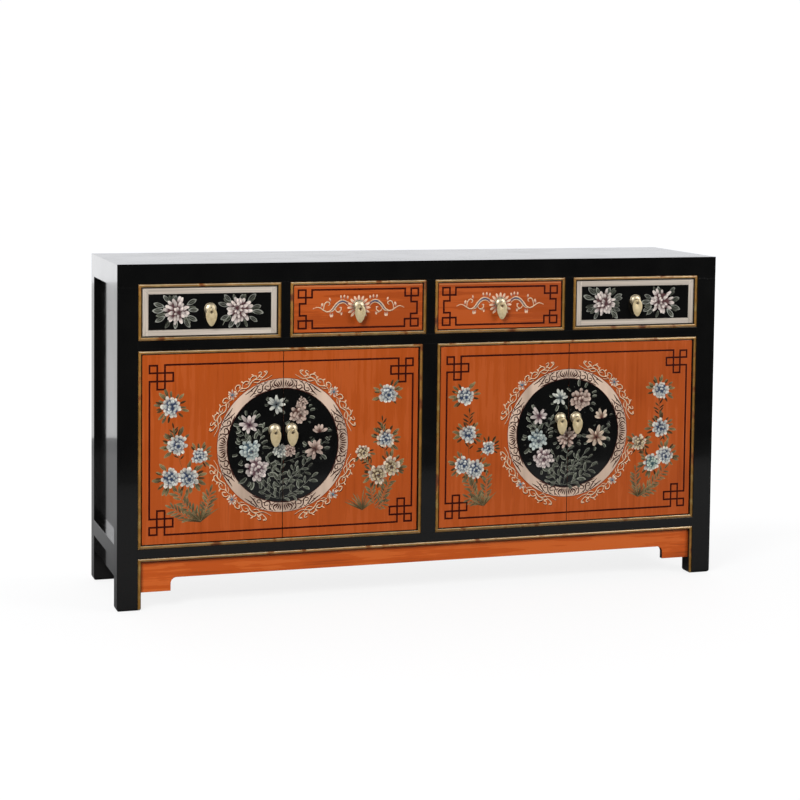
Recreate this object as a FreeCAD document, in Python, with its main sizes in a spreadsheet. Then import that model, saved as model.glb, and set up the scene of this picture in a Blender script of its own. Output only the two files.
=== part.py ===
import FreeCAD, Part
import math
import os
import re
import Sketcher

# A long, low lacquered sideboard: four drawers over four doors, framed in square section posts and rails.
# X runs along the front, Y from front to back, Z up. The origin is the middle of the floor under it,
# between the front of the brass pulls and the back of the frame.

DRAWERS = 4

# Small round pieces and holes that repeat are drawn with short straight sides, this many of them
BOSS_SIDES = 20
EYE_SIDES = 12
SHANK_SIDES = 8
COLLAR_SIDES = 12
DROP_SIDES = 24
HOLE_SIDES = 10

DRIVING = {
    # Frame
    "overall_width": 1600,
    "overall_height": 850,
    "overall_depth": 380,
    "post_width": 60,
    "post_depth": 40,
    "foot_round": 8,
    "leg_clear": 120,
    "bottom_rail_height": 40,
    "drawer_rail_height": 42,
    "drawer_opening_height": 121,
    "top_rail_height": 57,
    "rail_depth": 40,
    "side_rail_thickness": 30,
    "divider_width": 40,
    "stile_width": 56,
    # Bead worked round each opening
    "bead_width": 9,
    "bead_radius": 3.75,
    "bead_sink": 0.3,
    "quirk_depth": 2,
    "mitre_depth": 8,
    # Joinery
    "tenon_thickness": 12,
    "tenon_setback": 12,
    "tenon_length": 30,
    "stub_tenon_length": 15,
    "side_tenon_length": 20,
    "rear_tenon_thickness": 10,
    "groove_depth": 8,
    # Panels and boards
    "top_panel_thickness": 14,
    "top_tongue_thickness": 6,
    "side_panel_recess": 16,
    "side_panel_thickness": 8,
    "back_panel_recess": 12,
    "back_panel_thickness": 6,
    "floor_board_thickness": 12,
    "floor_board_drop": 8,
    "dust_board_thickness": 8,
    "dust_board_rise": 10,
    "partition_thickness": 18,
    "shelf_thickness": 15,
    "shelf_rise": 225,
    "shelf_set_back": 8,
    "shelf_slack": 0.3,
    "batten_height": 20,
    "batten_thickness": 15,
    # Aprons
    "apron_set_back": 10,
    "apron_thickness": 13,
    "apron_height": 44,
    "apron_housing": 6,
    "bracket_width": 75,
    "bracket_drop": 33,
    "bracket_round": 15,
    "side_apron_height": 60,
    # Doors
    "face_recess": 4,
    "door_gap": 1.6,
    "door_thickness": 20,
    "door_arris_round": 3,
    "pivot_inset": 11,
    "pivot_depth": 7,
    "pin_radius": 3,
    "pin_clearance": 0.08,
    "pin_fit": 0.02,
    "pin_in_door": 20,
    "pin_in_rail": 8,
    "socket_spare": 0.5,
    "collar_radius": 5,
    "collar_clearance": 0.3,
    # Drawers
    "drawer_gap": 1.6,
    "drawer_front_thickness": 18,
    "drawer_side_thickness": 12,
    "drawer_side_height": 100,
    "drawer_back_drop": 6,
    "drawer_bottom_thickness": 6,
    "drawer_bottom_rise": 8,
    "drawer_groove": 5,
    "drawer_run_clearance": 0.3,
    "drawer_back_clearance": 0.5,
    "runner_bearing": 17,
    "guide_height": 20,
    # Pulls
    "drawer_pull_rise": 66,
    "door_pull_rise": 273,
    "pull_spacing": 43.5,
    "boss_radius": 15.5,
    "boss_height": 9,
    "drop_plane": 13,
    "drop_thickness": 1.6,
    "drop_width": 28.5,
    "drop_length": 44.7,
    "drop_head": 3.2,
    "drop_hole_radius": 2.4,
    "eye_radius": 5.2,
    "eye_wall": 2.8,
    "eye_thickness": 2,
    "shank_radius": 1.9,
    "shank_clearance": 0.1,
    "leg_width": 3.4,
    "leg_thickness": 1.8,
    "leg_span": 20,
    # One overrun for all cuts that pass out of a face
    "overrun": 2,
}

DERIVED = {
    "half_width": "overall_width / 2",
    "inside_half": "half_width - post_width",
    "bay_floor": "leg_clear + bottom_rail_height",
    "opening_top": "overall_height - top_rail_height",
    "drawer_floor": "opening_top - drawer_opening_height",
    "bay_top": "drawer_floor - drawer_rail_height",
    "drawer_width": f"(2 * inside_half - {DRAWERS - 1} * divider_width) / {DRAWERS}",
    "drawer_pitch": "drawer_width + divider_width",
    "bay_width": "inside_half - stile_width / 2",
    "bay_middle": "(inside_half + stile_width / 2) / 2",
    "rear_inside": "overall_depth - post_depth",
    "back_panel_front": "overall_depth - back_panel_recess - back_panel_thickness",
    "side_panel_outside": "half_width - side_panel_recess",
    "side_panel_inside": "side_panel_outside - side_panel_thickness",
    "side_rail_inside": "half_width - side_rail_thickness",
    "bead_axis_depth": "bead_sink + bead_radius",
    "bead_reach": "bead_radius + sqrt(bead_radius ^ 2 - (bead_axis_depth - quirk_depth) ^ 2)",
    "top_tongue_floor": "overall_height - top_panel_thickness",
    "floor_board_top": "bay_floor - floor_board_drop",
    "dust_board_floor": "bay_top + dust_board_rise",
    "dust_board_top": "dust_board_floor + dust_board_thickness",
    "shelf_floor": "bay_floor + shelf_rise",
    "shelf_front": "face_recess + door_thickness + shelf_set_back",
    "apron_bottom": "leg_clear - apron_height",
    "bracket_bottom": "apron_bottom - bracket_drop",
    "door_width": "(bay_width - 3 * door_gap) / 2",
    "pin_depth": "face_recess + pivot_depth",
    "outer_pivot": "inside_half - door_gap - pivot_inset",
    "inner_pivot": "stile_width / 2 + door_gap + pivot_inset",
    "door_pull_reach": "door_width - pivot_inset + door_gap / 2 - pull_spacing / 2",
    "drawer_half": "drawer_width / 2 - drawer_gap",
    "drawer_inside_half": "drawer_half - drawer_side_thickness",
    "box_floor": "drawer_floor + drawer_run_clearance",
    "box_top": "box_floor + drawer_side_height",
    "box_end": "back_panel_front - drawer_back_clearance",
    "box_start": "face_recess + drawer_front_thickness",
    "tray_floor": "box_floor + drawer_bottom_rise",
    "tray_top": "tray_floor + drawer_bottom_thickness",
    "drawer_pull_height": "drawer_floor + drawer_pull_rise",
    "door_pull_height": "bay_floor + door_pull_rise",
    "eye_outside": "eye_radius + eye_wall / 2",
    "eye_inside": "eye_radius - eye_wall / 2",
    "dome_radius": "(boss_radius ^ 2 + boss_height ^ 2) / (2 * boss_height)",
    "pull_projection": "drop_plane + eye_outside - face_recess",
    "front_face": "(pull_projection - overall_depth) / 2",
}

doc = FreeCAD.newDocument("Sideboard")
sheet = doc.addObject("Spreadsheet::Sheet", "Sizes")
for row, (alias, number) in enumerate(DRIVING.items(), start=1):
    sheet.set(f"A{row}", alias.replace("_", " "))
    sheet.set(f"B{row}", str(number))
    sheet.setAlias(f"B{row}", alias)
doc.recompute()


def spell(text):
    """Writes an expression of plain size names out in cells of the sheet."""

    def word(match):
        name = match.group(0)
        if name in DERIVED:
            return f"({spell(DERIVED[name])})"
        return f"Sizes.{name}" if name in DRIVING else name

    return re.sub(r"[a-z]\w*", word, str(text))


def size(text):
    """The present value of an expression, in millimetres."""
    return float(sheet.evalExpression(spell(text)))


def bind(thing, field, text):
    thing.setExpression(field, spell(text))


def seat(thing, across="0", up="0", depth="0"):
    """Puts a piece in its place: across along X, up along Z, and depth back from the frame's front face."""
    bind(thing, "Placement.Base.x", across)
    bind(thing, "Placement.Base.y", f"front_face + {depth}")
    bind(thing, "Placement.Base.z", up)
    return thing


def times(sign, text):
    """A length to the left or the right, by its sign."""
    return f"({sign}) * ({text})"


# Sketches

# Each plane's name in a body, the sense of its normal along its axis, and whether a pad has to be turned
# round to grow towards plus along that axis.
PLANES = {
    "front": ("XZ_Plane", -1, True),
    "plan": ("XY_Plane", 1, False),
    "side": ("YZ_Plane", 1, False),
}


def arc_centre(start, end, radius, turn):
    """The centre of the arc under a half circle from start to end, turning left for 1 or right for -1."""
    chord = end - start
    rise = math.sqrt(max(radius**2 - (chord.Length / 2) ** 2, 0))
    normal = FreeCAD.Vector(-chord.y, chord.x, 0).normalize()
    return (start + end) / 2 + normal * (rise * turn)


def add_arc(sketch, start, end, radius, turn):
    """Adds the arc and gives which of its ends is the start, as the sketch counts them."""
    centre = arc_centre(start, end, radius, turn)
    first, last = (start, end) if turn > 0 else (end, start)
    angles = [math.atan2(point.y - centre.y, point.x - centre.x) for point in (first, last)]
    circle = Part.Circle(centre, FreeCAD.Vector(0, 0, 1), radius)
    edge = sketch.addGeometry(Part.ArcOfCircle(circle, *angles), False)
    return (edge, 1, 2) if turn > 0 else (edge, 2, 1)


def hold_point(sketch, edge, end, point):
    """Holds a point by its two named distances from the sketch's origin."""
    for kind, text in zip(("DistanceX", "DistanceY"), point):
        number = sketch.addConstraint(Sketcher.Constraint(kind, -1, 1, edge, end, size(text)))
        bind(sketch, f"Constraints[{number}]", text)


def hold_radius(sketch, edge, text):
    number = sketch.addConstraint(Sketcher.Constraint("Radius", edge, size(text)))
    bind(sketch, f"Constraints[{number}]", text)


def draw_outline(sketch, outline):
    """Draws one closed outline of points. A point may carry the radius and the turn of the arc that follows it."""
    corners = [FreeCAD.Vector(size(item[0]), size(item[1]), 0) for item in outline]
    edges = []
    for place, item in enumerate(outline):
        start, end = corners[place], corners[(place + 1) % len(corners)]
        if len(item) == 2:
            edges.append((sketch.addGeometry(Part.LineSegment(start, end), False), 1, 2))
        else:
            edges.append(add_arc(sketch, start, end, size(item[2]), item[3]))
            hold_radius(sketch, edges[-1][0], item[2])
    for place, (edge, first, last) in enumerate(edges):
        following = edges[(place + 1) % len(edges)]
        sketch.addConstraint(Sketcher.Constraint("Coincident", edge, last, following[0], following[1]))
        hold_point(sketch, edge, first, outline[place])


def draw_circle(sketch, across, up, radius):
    centre = FreeCAD.Vector(size(across), size(up), 0)
    circle = Part.Circle(centre, FreeCAD.Vector(0, 0, 1), size(radius))
    edge = sketch.addGeometry(circle, False)
    hold_point(sketch, edge, 3, (across, up))
    hold_radius(sketch, edge, radius)


def draw(sketch, outlines):
    """Draws outlines, and circles given as (across, up, radius)."""
    for outline in outlines:
        if isinstance(outline, tuple):
            draw_circle(sketch, *outline)
        else:
            draw_outline(sketch, outline)
    return sketch


def box_outline(left, bottom, right, top):
    return [(left, bottom), (right, bottom), (right, top), (left, top)]


def ring_outline(across, up, wide, high, sides):
    """An oval or a circle of short sides about its middle, wide and high being its half lengths."""
    turns = [2 * math.pi * corner / sides for corner in range(sides)]
    return [
        (f"{across} + ({wide}) * ({math.cos(turn):.6f})", f"{up} + ({high}) * ({math.sin(turn):.6f})")
        for turn in turns
    ]


def shank_outline(across, up, clearance):
    """The section of a pull's shank, or with a clearance the hole for it."""
    radius = f"shank_radius + {clearance}"
    return ring_outline(across, up, radius, radius, SHANK_SIDES)


# Features

def new_body(label):
    body = doc.addObject("PartDesign::Body", "Body")
    body.Label = label
    return body


def body_sketch(body, plane, start, outlines):
    """A sketch on one of the body's own planes, moved to start along that plane's axis."""
    role, sense, _ = PLANES[plane]
    sketch = body.newObject("Sketcher::SketchObject", "Sketch")
    support = next(item for item in body.Origin.OriginFeatures if item.Role == role)
    sketch.AttachmentSupport = [(support, "")]
    sketch.MapMode = "FlatFace"
    bind(sketch, "AttachmentOffset.Base.z", times(sense, start))
    return draw(sketch, outlines)


def slab(body, plane, start, length, *outlines):
    """Adds material from start on, length along the plane's axis."""
    sketch = body_sketch(body, plane, start, outlines)
    pad = body.newObject("PartDesign::Pad", "Pad")
    pad.Profile = sketch
    pad.Reversed = PLANES[plane][2]
    bind(pad, "Length", length)
    return pad


def cut(body, plane, start, length, *outlines):
    """Takes material away from start on, length along the plane's axis."""
    sketch = body_sketch(body, plane, start, outlines)
    pocket = body.newObject("PartDesign::Pocket", "Pocket")
    pocket.Profile = sketch
    pocket.Reversed = not PLANES[plane][2]
    bind(pocket, "Length", length)
    return pocket


def round_face(body, feature, normal, radius):
    """Rounds all edges of the flat face whose outward normal is given and which lies furthest that way."""
    doc.recompute()
    faces = [
        (face.CenterOfMass.dot(normal), f"Face{number}")
        for number, face in enumerate(feature.Shape.Faces, start=1)
        if isinstance(face.Surface, Part.Plane) and face.normalAt(0, 0).dot(normal) > math.cos(math.radians(1))
    ]
    fillet = body.newObject("PartDesign::Fillet", "Fillet")
    fillet.Base = (feature, [max(faces)[1]])
    bind(fillet, "Radius", radius)
    return fillet


def group(label, pieces):
    """Like pieces that share one name, each still a solid of its own."""
    compound = doc.addObject("Part::Compound", "Group")
    compound.Label = label
    compound.Links = pieces
    return compound


def less(label, base, tool):
    result = doc.addObject("Part::Cut", "Cut")
    result.Label = label
    result.Base = base
    result.Tool = tool
    return result


# The bead: its waste, run round a rectangular opening and mitred in the corners

def loose_sketch(label, rotation, outline):
    sketch = doc.addObject("Sketcher::SketchObject", "Path")
    sketch.Label = label
    sketch.Placement = FreeCAD.Placement(FreeCAD.Vector(), rotation)
    return draw(sketch, [outline])


def bead_waste(label, left, bottom, right, top):
    middle = f"(({left}) + ({right})) / 2"
    path = loose_sketch(
        f"{label}_path",
        FreeCAD.Rotation(FreeCAD.Vector(1, 0, 0), 90),
        [(middle, bottom), (right, bottom), (right, top), (left, top), (left, bottom)],
    )
    profile = loose_sketch(
        f"{label}_profile",
        FreeCAD.Rotation(FreeCAD.Vector(1, 1, 1), 120),
        [
            ("-overrun", f"({bottom}) - bead_width"),
            ("quirk_depth", f"({bottom}) - bead_width"),
            ("quirk_depth", f"({bottom}) - bead_reach", "bead_radius", -1),
            ("bead_axis_depth", bottom),
            ("bead_axis_depth", f"({bottom}) + overrun"),
            ("-overrun", f"({bottom}) + overrun"),
        ],
    )
    seat(path)
    seat(profile, across=middle)
    sweep = doc.addObject("Part::Sweep", "Bead")
    sweep.Label = label
    sweep.Sections = [profile]
    sweep.Spine = (path, [])
    sweep.Solid = True
    sweep.Frenet = False
    sweep.Transition = "Right corner"
    return sweep


def drawer_middle(number):
    """The middle of an opening, counted from the left."""
    return f"({number - (DRAWERS - 1) / 2}) * drawer_pitch"


def divider_middle(number):
    return f"({number + 1 - DRAWERS / 2}) * drawer_pitch"


def bead_wastes():
    wastes = []
    for number in range(DRAWERS):
        middle = drawer_middle(number)
        left = f"{middle} - drawer_width / 2"
        right = f"{middle} + drawer_width / 2"
        wastes.append(bead_waste(f"drawer_bead_{number + 1}", left, "drawer_floor", right, "opening_top"))
    for number, side in enumerate((-1, 1), start=1):
        left = times(side, "bay_middle") + " - bay_width / 2"
        right = times(side, "bay_middle") + " + bay_width / 2"
        wastes.append(bead_waste(f"bay_bead_{number}", left, "bay_floor", right, "bay_top"))
    below = "-bead_width - overrun"
    wastes.append(bead_waste("kneehole_bead", "-inside_half", below, "inside_half", "leg_clear"))
    return group("bead_waste", wastes)


BEADS = bead_wastes()


def beaded(label, body):
    """Works the beads on a blank."""
    body.Label = f"{label}_blank"
    return less(label, seat(body), BEADS)


# Frame joints

def nib(side, edge, bottom, top):
    """The mitred nib of a rail or its notch in a post, from bottom to top at an upright edge."""
    deep = f"{edge} + bead_width"
    return [
        (times(side, edge), bottom),
        (times(side, deep), f"{bottom} + bead_width"),
        (times(side, deep), f"{top} - bead_width"),
        (times(side, edge), top),
    ]


def upright_nib(middle, half, level, sense):
    """The mitred nib of an upright or its notch in a rail, at level, going up for 1 or down for -1."""
    deep = f"{level} + {times(sense, 'bead_width')}"
    return [
        (f"{middle} - {half}", level),
        (f"{middle} - {half} + bead_width", deep),
        (f"{middle} + {half} - bead_width", deep),
        (f"{middle} + {half}", level),
    ]


def stub(middle, half, level, sense):
    """The outline of an upright's stub tenon beyond level."""
    reach = f"{level} + {times(sense, 'stub_tenon_length')}"
    narrow = f"({half} - bead_width)"
    return box_outline(f"{middle} - {narrow}", level, f"{middle} + {narrow}", reach)


def tenon_rows():
    """The heights of the rails that are tenoned into the posts, front and back alike."""
    return [("leg_clear", "bay_floor"), ("bay_top", "drawer_floor")]


def post_mortises(side):
    return [
        box_outline(
            times(side, "inside_half"),
            f"{bottom} + bead_width",
            times(side, "inside_half + tenon_length"),
            f"{top} - bead_width",
        )
        for bottom, top in tenon_rows()
    ]


def top_tenon(side):
    left = times(side, "inside_half + bead_width")
    right = times(side, "inside_half + bead_width + tenon_thickness")
    return box_outline(left, "opening_top", right, "opening_top + tenon_length")


def side_joints(body, side, face, inward):
    """The mortise and grooves in a post for the pieces of the end, in its inner face across the depth."""
    start = face if inward > 0 else f"{face} - groove_depth"
    panel = box_outline(
        times(side, "side_panel_inside"),
        "bay_floor - groove_depth",
        times(side, "side_panel_outside"),
        "opening_top",
    )
    apron = box_outline(
        times(side, "side_panel_outside - apron_thickness"),
        "leg_clear - side_apron_height",
        times(side, "side_panel_outside"),
        "leg_clear",
    )
    cut(body, "front", start, "groove_depth", panel, apron)
    start = face if inward > 0 else f"{face} - side_tenon_length"
    cut(body, "front", start, "side_tenon_length", side_tenon(side))


def side_tenon(side):
    inside = "side_panel_inside"
    return box_outline(
        times(side, inside),
        "leg_clear + groove_depth",
        times(side, f"{inside} + tenon_thickness"),
        "bay_floor - groove_depth",
    )


def post_front(label, side):
    body = new_body(label)
    outline = (
        [(times(side, "half_width"), "0"), (times(side, "inside_half"), "0")]
        + nib(side, "inside_half", "leg_clear", "bay_floor")
        + nib(side, "inside_half", "bay_top", "drawer_floor")
        + [
            (times(side, "inside_half"), "opening_top"),
            (times(side, "inside_half + bead_width"), "opening_top + bead_width"),
            (times(side, "inside_half + bead_width"), "opening_top"),
            (times(side, "half_width"), "opening_top"),
        ]
    )
    slab(body, "front", "0", "mitre_depth", outline)
    shaft = box_outline(times(side, "inside_half"), "0", times(side, "half_width"), "opening_top")
    slab(body, "front", "mitre_depth", "post_depth - mitre_depth", shaft)
    slab(body, "front", "tenon_setback", "tenon_thickness", top_tenon(side))
    cut(body, "front", "tenon_setback", "tenon_thickness", *post_mortises(side))
    housing = box_outline(
        times(side, "inside_half"),
        "bracket_bottom",
        times(side, "inside_half + apron_housing"),
        "leg_clear",
    )
    cut(body, "front", "apron_set_back", "apron_thickness", housing)
    side_joints(body, side, "post_depth", -1)
    round_face(body, body.Tip, FreeCAD.Vector(0, 0, -1), "foot_round")
    return beaded(label, body)


def post_rear(label, side):
    body = new_body(label)
    shaft = box_outline(times(side, "inside_half"), "0", times(side, "half_width"), "opening_top")
    slab(body, "front", "rear_inside", "post_depth", shaft)
    setback = "overall_depth - tenon_setback - tenon_thickness"
    slab(body, "front", setback, "tenon_thickness", top_tenon(side))
    cut(body, "front", REAR_TENON, "rear_tenon_thickness", *post_mortises(side))
    groove = box_outline(
        times(side, "inside_half"),
        "bay_floor - groove_depth",
        times(side, "inside_half + groove_depth"),
        "opening_top",
    )
    cut(body, "front", "back_panel_front", "back_panel_thickness", groove)
    side_joints(body, side, "rear_inside", 1)
    round_face(body, body.Tip, FreeCAD.Vector(0, 0, -1), "foot_round")
    return seat(body)


REAR_TENON = "rear_inside + (back_panel_front - rear_inside - rear_tenon_thickness) / 2"


# Rails of the front

def long_tenon(bottom, top):
    reach = "inside_half + tenon_length"
    return box_outline(f"-({reach})", f"{bottom} + bead_width", reach, f"{top} - bead_width")


def rail_outline(bottom, top, below, above):
    """The front outline of a rail with its end nibs. below and above hold the notches, left to right."""
    left = nib(-1, "inside_half", bottom, top)
    right = nib(1, "inside_half", bottom, top)
    lower = [point for notch in below for point in notch]
    upper = [point for notch in above for point in notch]
    return lower + right + upper[::-1] + left[::-1]


def divider_notches(level, sense):
    return [
        upright_nib(divider_middle(number), "divider_width / 2", level, sense) for number in range(DRAWERS - 1)
    ]


def divider_mortises(level, sense):
    return [stub(divider_middle(number), "divider_width / 2", level, sense) for number in range(DRAWERS - 1)]


def front_rail(label, bottom, top, below, above, mortises):
    body = new_body(label)
    slab(body, "front", "0", "mitre_depth", rail_outline(bottom, top, below, above))
    core = box_outline("-inside_half", bottom, "inside_half", top)
    slab(body, "front", "mitre_depth", "rail_depth - mitre_depth", core)
    slab(body, "front", "tenon_setback", "tenon_thickness", long_tenon(bottom, top))
    cut(body, "front", "tenon_setback", "tenon_thickness", *mortises)
    return body


def pivot_places():
    """How far each door pin stands from the middle, left to right."""
    return ["-(outer_pivot)", "-(inner_pivot)", "inner_pivot", "outer_pivot"]


def sockets(body, start, length):
    """The holes that the door pins turn in."""
    holes = [(place, "pin_depth", "pin_radius + pin_clearance") for place in pivot_places()]
    cut(body, "plan", start, length, *holes)


def board_groove(body, start, floor, thickness):
    """A groove along a rail for the edge of a board."""
    outline = box_outline(start, floor, f"{start} + groove_depth", f"{floor} + {thickness}")
    cut(body, "side", "-(inside_half)", "2 * inside_half", outline)


def drawer_rail():
    body = front_rail(
        "drawer_rail",
        "bay_top",
        "drawer_floor",
        [upright_nib("0", "stile_width / 2", "bay_top", 1)],
        divider_notches("drawer_floor", -1),
        divider_mortises("drawer_floor", -1) + [stub("0", "stile_width / 2", "bay_top", 1)],
    )
    sockets(body, "bay_top", "pin_in_rail + socket_spare")
    board_groove(body, "rail_depth - groove_depth", "dust_board_floor", "dust_board_thickness")
    return beaded("drawer_rail", body)


def bottom_rail_front():
    body = front_rail(
        "bottom_rail_front",
        "leg_clear",
        "bay_floor",
        [],
        [upright_nib("0", "stile_width / 2", "bay_floor", -1)],
        [stub("0", "stile_width / 2", "bay_floor", -1)],
    )
    sockets(body, "bay_floor - pin_in_rail - socket_spare", "pin_in_rail + socket_spare")
    floor = "floor_board_top - floor_board_thickness"
    board_groove(body, "rail_depth - groove_depth", floor, "floor_board_thickness")
    return beaded("bottom_rail_front", body)


def top_rail_front():
    body = new_body("top_rail_front")
    corner = ("-(inside_half + bead_width)", "opening_top")
    left = [corner, (corner[0], "opening_top + bead_width"), ("-inside_half", "opening_top")]
    right = [(f"-({across})", up) for across, up in left[::-1]]
    notches = [point for notch in divider_notches("opening_top", 1) for point in notch]
    outline = (
        [("-half_width", "overall_height"), ("-half_width", "opening_top")]
        + left
        + notches
        + right
        + [("half_width", "opening_top"), ("half_width", "overall_height")]
    )
    slab(body, "front", "0", "mitre_depth", outline)
    core = box_outline("-half_width", "opening_top", "half_width", "overall_height")
    slab(body, "front", "mitre_depth", "rail_depth - mitre_depth", core)
    mortises = divider_mortises("opening_top", 1) + [top_tenon(-1), top_tenon(1)]
    cut(body, "front", "tenon_setback", "tenon_thickness", *mortises)
    mitre_ends(body, "0", 1)
    cut(body, "side", "-(half_width)", "overall_width", panel_groove("rail_depth - groove_depth"))
    return beaded("top_rail_front", body)


def panel_groove(start):
    top = "top_tongue_floor + top_tongue_thickness"
    return box_outline(start, "top_tongue_floor", f"{start} + groove_depth", top)


def mitre_ends(body, face, inward):
    """Cuts both ends of a top rail to the mitre. face is its outer face and inward the sense to its inner one."""
    inner = f"{face} + {times(inward, 'rail_depth')}"
    ends = [
        [
            (times(side, "half_width"), face),
            (times(side, "half_width"), inner),
            (times(side, "half_width - rail_depth"), inner),
        ]
        for side in (-1, 1)
    ]
    cut(body, "plan", "opening_top", "top_rail_height", *ends)


def top_rail_rear():
    body = new_body("top_rail_rear")
    start = "overall_depth - rail_depth"
    core = box_outline("-half_width", "opening_top", "half_width", "overall_height")
    slab(body, "front", start, "rail_depth", core)
    setback = "overall_depth - tenon_setback - tenon_thickness"
    cut(body, "front", setback, "tenon_thickness", top_tenon(-1), top_tenon(1))
    mitre_ends(body, "overall_depth", -1)
    cut(body, "side", "-(half_width)", "overall_width", panel_groove(start))
    back = box_outline(
        "-(inside_half + groove_depth)", "opening_top", "inside_half + groove_depth", "opening_top + groove_depth"
    )
    cut(body, "front", "back_panel_front", "back_panel_thickness", back)
    return seat(body)


def top_side_rails():
    pieces = []
    for side in (-1, 1):
        body = new_body(f"top_side_rail_{side}")
        outline = [
            (times(side, "half_width"), "0"),
            (times(side, "half_width - rail_depth"), "rail_depth"),
            (times(side, "half_width - rail_depth"), "overall_depth - rail_depth"),
            (times(side, "half_width"), "overall_depth"),
        ]
        slab(body, "plan", "opening_top", "top_rail_height", outline)
        inner = times(side, "half_width - rail_depth")
        deep = times(side, "half_width - rail_depth + groove_depth")
        top = "top_tongue_floor + top_tongue_thickness"
        cut(body, "front", "0", "overall_depth", box_outline(inner, "top_tongue_floor", deep, top))
        panel = box_outline(
            times(side, "side_panel_inside"),
            "post_depth - groove_depth",
            times(side, "side_panel_outside"),
            "rear_inside + groove_depth",
        )
        cut(body, "plan", "opening_top", "groove_depth", panel)
        pieces.append(seat(body))
    return group("top_side_rails", pieces)


def top_panel():
    body = new_body("top_panel")
    side = "half_width - rail_depth"
    back = "overall_depth - rail_depth"
    field = box_outline(f"-({side})", "rail_depth", side, back)
    slab(body, "plan", "top_tongue_floor", "top_panel_thickness", field)
    tongue = box_outline(
        f"-({side} + groove_depth)", "rail_depth - groove_depth", f"{side} + groove_depth", f"{back} + groove_depth"
    )
    slab(body, "plan", "top_tongue_floor", "top_tongue_thickness", tongue)
    return seat(body)


def upright(label, middle, half, bottom, top):
    """A divider or stile with mitred nibs and stub tenons at both ends, drawn about its own middle."""
    body = new_body(label)
    lower = upright_nib("0", half, bottom, -1)
    upper = upright_nib("0", half, top, 1)
    slab(body, "front", "0", "mitre_depth", lower + upper[::-1])
    core = box_outline(f"-{half}", bottom, half, top)
    slab(body, "front", "mitre_depth", "rail_depth - mitre_depth", core)
    narrow = f"({half} - bead_width)"
    tenon = box_outline(f"-{narrow}", f"{bottom} - stub_tenon_length", narrow, f"{top} + stub_tenon_length")
    slab(body, "front", "tenon_setback", "tenon_thickness", tenon)
    return seat(body, across=middle)


def drawer_dividers():
    pieces = [
        upright(f"divider_{number + 1}", divider_middle(number), "divider_width / 2", "drawer_floor", "opening_top")
        for number in range(DRAWERS - 1)
    ]
    return less("drawer_dividers", group("divider_blanks", pieces), BEADS)


def centre_stile():
    body = upright("centre_stile_blank", "0", "stile_width / 2", "bay_floor", "bay_top")
    return less("centre_stile", body, BEADS)


# Ends and back

def rear_rails():
    pieces = []
    for label, bottom, top, depth in (
        ("rear_rail_low", "leg_clear", "bay_floor", "post_depth"),
        ("rear_rail_middle", "bay_top", "drawer_floor", "back_panel_front - rear_inside"),
    ):
        body = new_body(label)
        slab(body, "front", "rear_inside", depth, box_outline("-inside_half", bottom, "inside_half", top))
        slab(body, "front", REAR_TENON, "rear_tenon_thickness", long_tenon(bottom, top))
        pieces.append(seat(body))
    floor = "floor_board_top - floor_board_thickness"
    board_groove(pieces[0], "rear_inside", floor, "floor_board_thickness")
    board_groove(pieces[1], "rear_inside", "dust_board_floor", "dust_board_thickness")
    groove = box_outline("-inside_half", "bay_floor - groove_depth", "inside_half", "bay_floor")
    cut(pieces[0], "front", "back_panel_front", "back_panel_thickness", groove)
    return group("rear_rails", pieces)


def bottom_side_rails():
    pieces = []
    for side in (-1, 1):
        body = new_body(f"bottom_side_rail_{side}")
        section = box_outline(
            times(side, "side_rail_inside"), "leg_clear", times(side, "half_width"), "bay_floor"
        )
        slab(body, "front", "post_depth", "rear_inside - post_depth", section)
        reach = "rear_inside - post_depth + 2 * side_tenon_length"
        slab(body, "front", "post_depth - side_tenon_length", reach, side_tenon(side))
        groove = box_outline(
            times(side, "side_panel_inside"),
            "bay_floor - groove_depth",
            times(side, "side_panel_outside"),
            "bay_floor",
        )
        cut(body, "front", "post_depth", "rear_inside - post_depth", groove)
        pieces.append(seat(body))
    return group("bottom_side_rails", pieces)


def side_panels():
    pieces = []
    for side in (-1, 1):
        body = new_body(f"side_panel_{side}")
        outline = box_outline(
            "post_depth - groove_depth",
            "bay_floor - groove_depth",
            "rear_inside + groove_depth",
            "opening_top + groove_depth",
        )
        start = "side_panel_inside" if side > 0 else "-side_panel_outside"
        slab(body, "side", start, "side_panel_thickness", outline)
        pieces.append(seat(body))
    return group("side_panels", pieces)


def side_aprons():
    pieces = []
    for side in (-1, 1):
        body = new_body(f"side_apron_{side}")
        section = box_outline(
            times(side, "side_panel_outside - apron_thickness"),
            "leg_clear - side_apron_height",
            times(side, "side_panel_outside"),
            "leg_clear",
        )
        reach = "rear_inside - post_depth + 2 * groove_depth"
        slab(body, "front", "post_depth - groove_depth", reach, section)
        pieces.append(seat(body))
    return group("side_aprons", pieces)


def back_panel():
    body = new_body("back_panel")
    reach = "inside_half + groove_depth"
    outline = box_outline(f"-({reach})", "bay_floor - groove_depth", reach, "opening_top + groove_depth")
    slab(body, "front", "back_panel_front", "back_panel_thickness", outline)
    return seat(body)


def apron_front():
    """The long apron, its two bracket ends drawn in one piece with it and let into the posts."""
    body = new_body("apron_front")
    end = "inside_half + apron_housing"
    inner = "inside_half - bracket_width"
    left = [
        (f"-({end})", "bracket_bottom"),
        (f"-({inner})", "bracket_bottom"),
        (f"-({inner})", "apron_bottom - bracket_round", "bracket_round", -1),
        (f"-({inner} - bracket_round)", "apron_bottom"),
    ]
    right = [
        (f"{inner} - bracket_round", "apron_bottom", "bracket_round", -1),
        (inner, "apron_bottom - bracket_round"),
        (inner, "bracket_bottom"),
        (end, "bracket_bottom"),
    ]
    outline = left + right + [(end, "leg_clear"), (f"-({end})", "leg_clear")]
    slab(body, "front", "apron_set_back", "apron_thickness", outline)
    return seat(body)


# Boards inside

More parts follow.
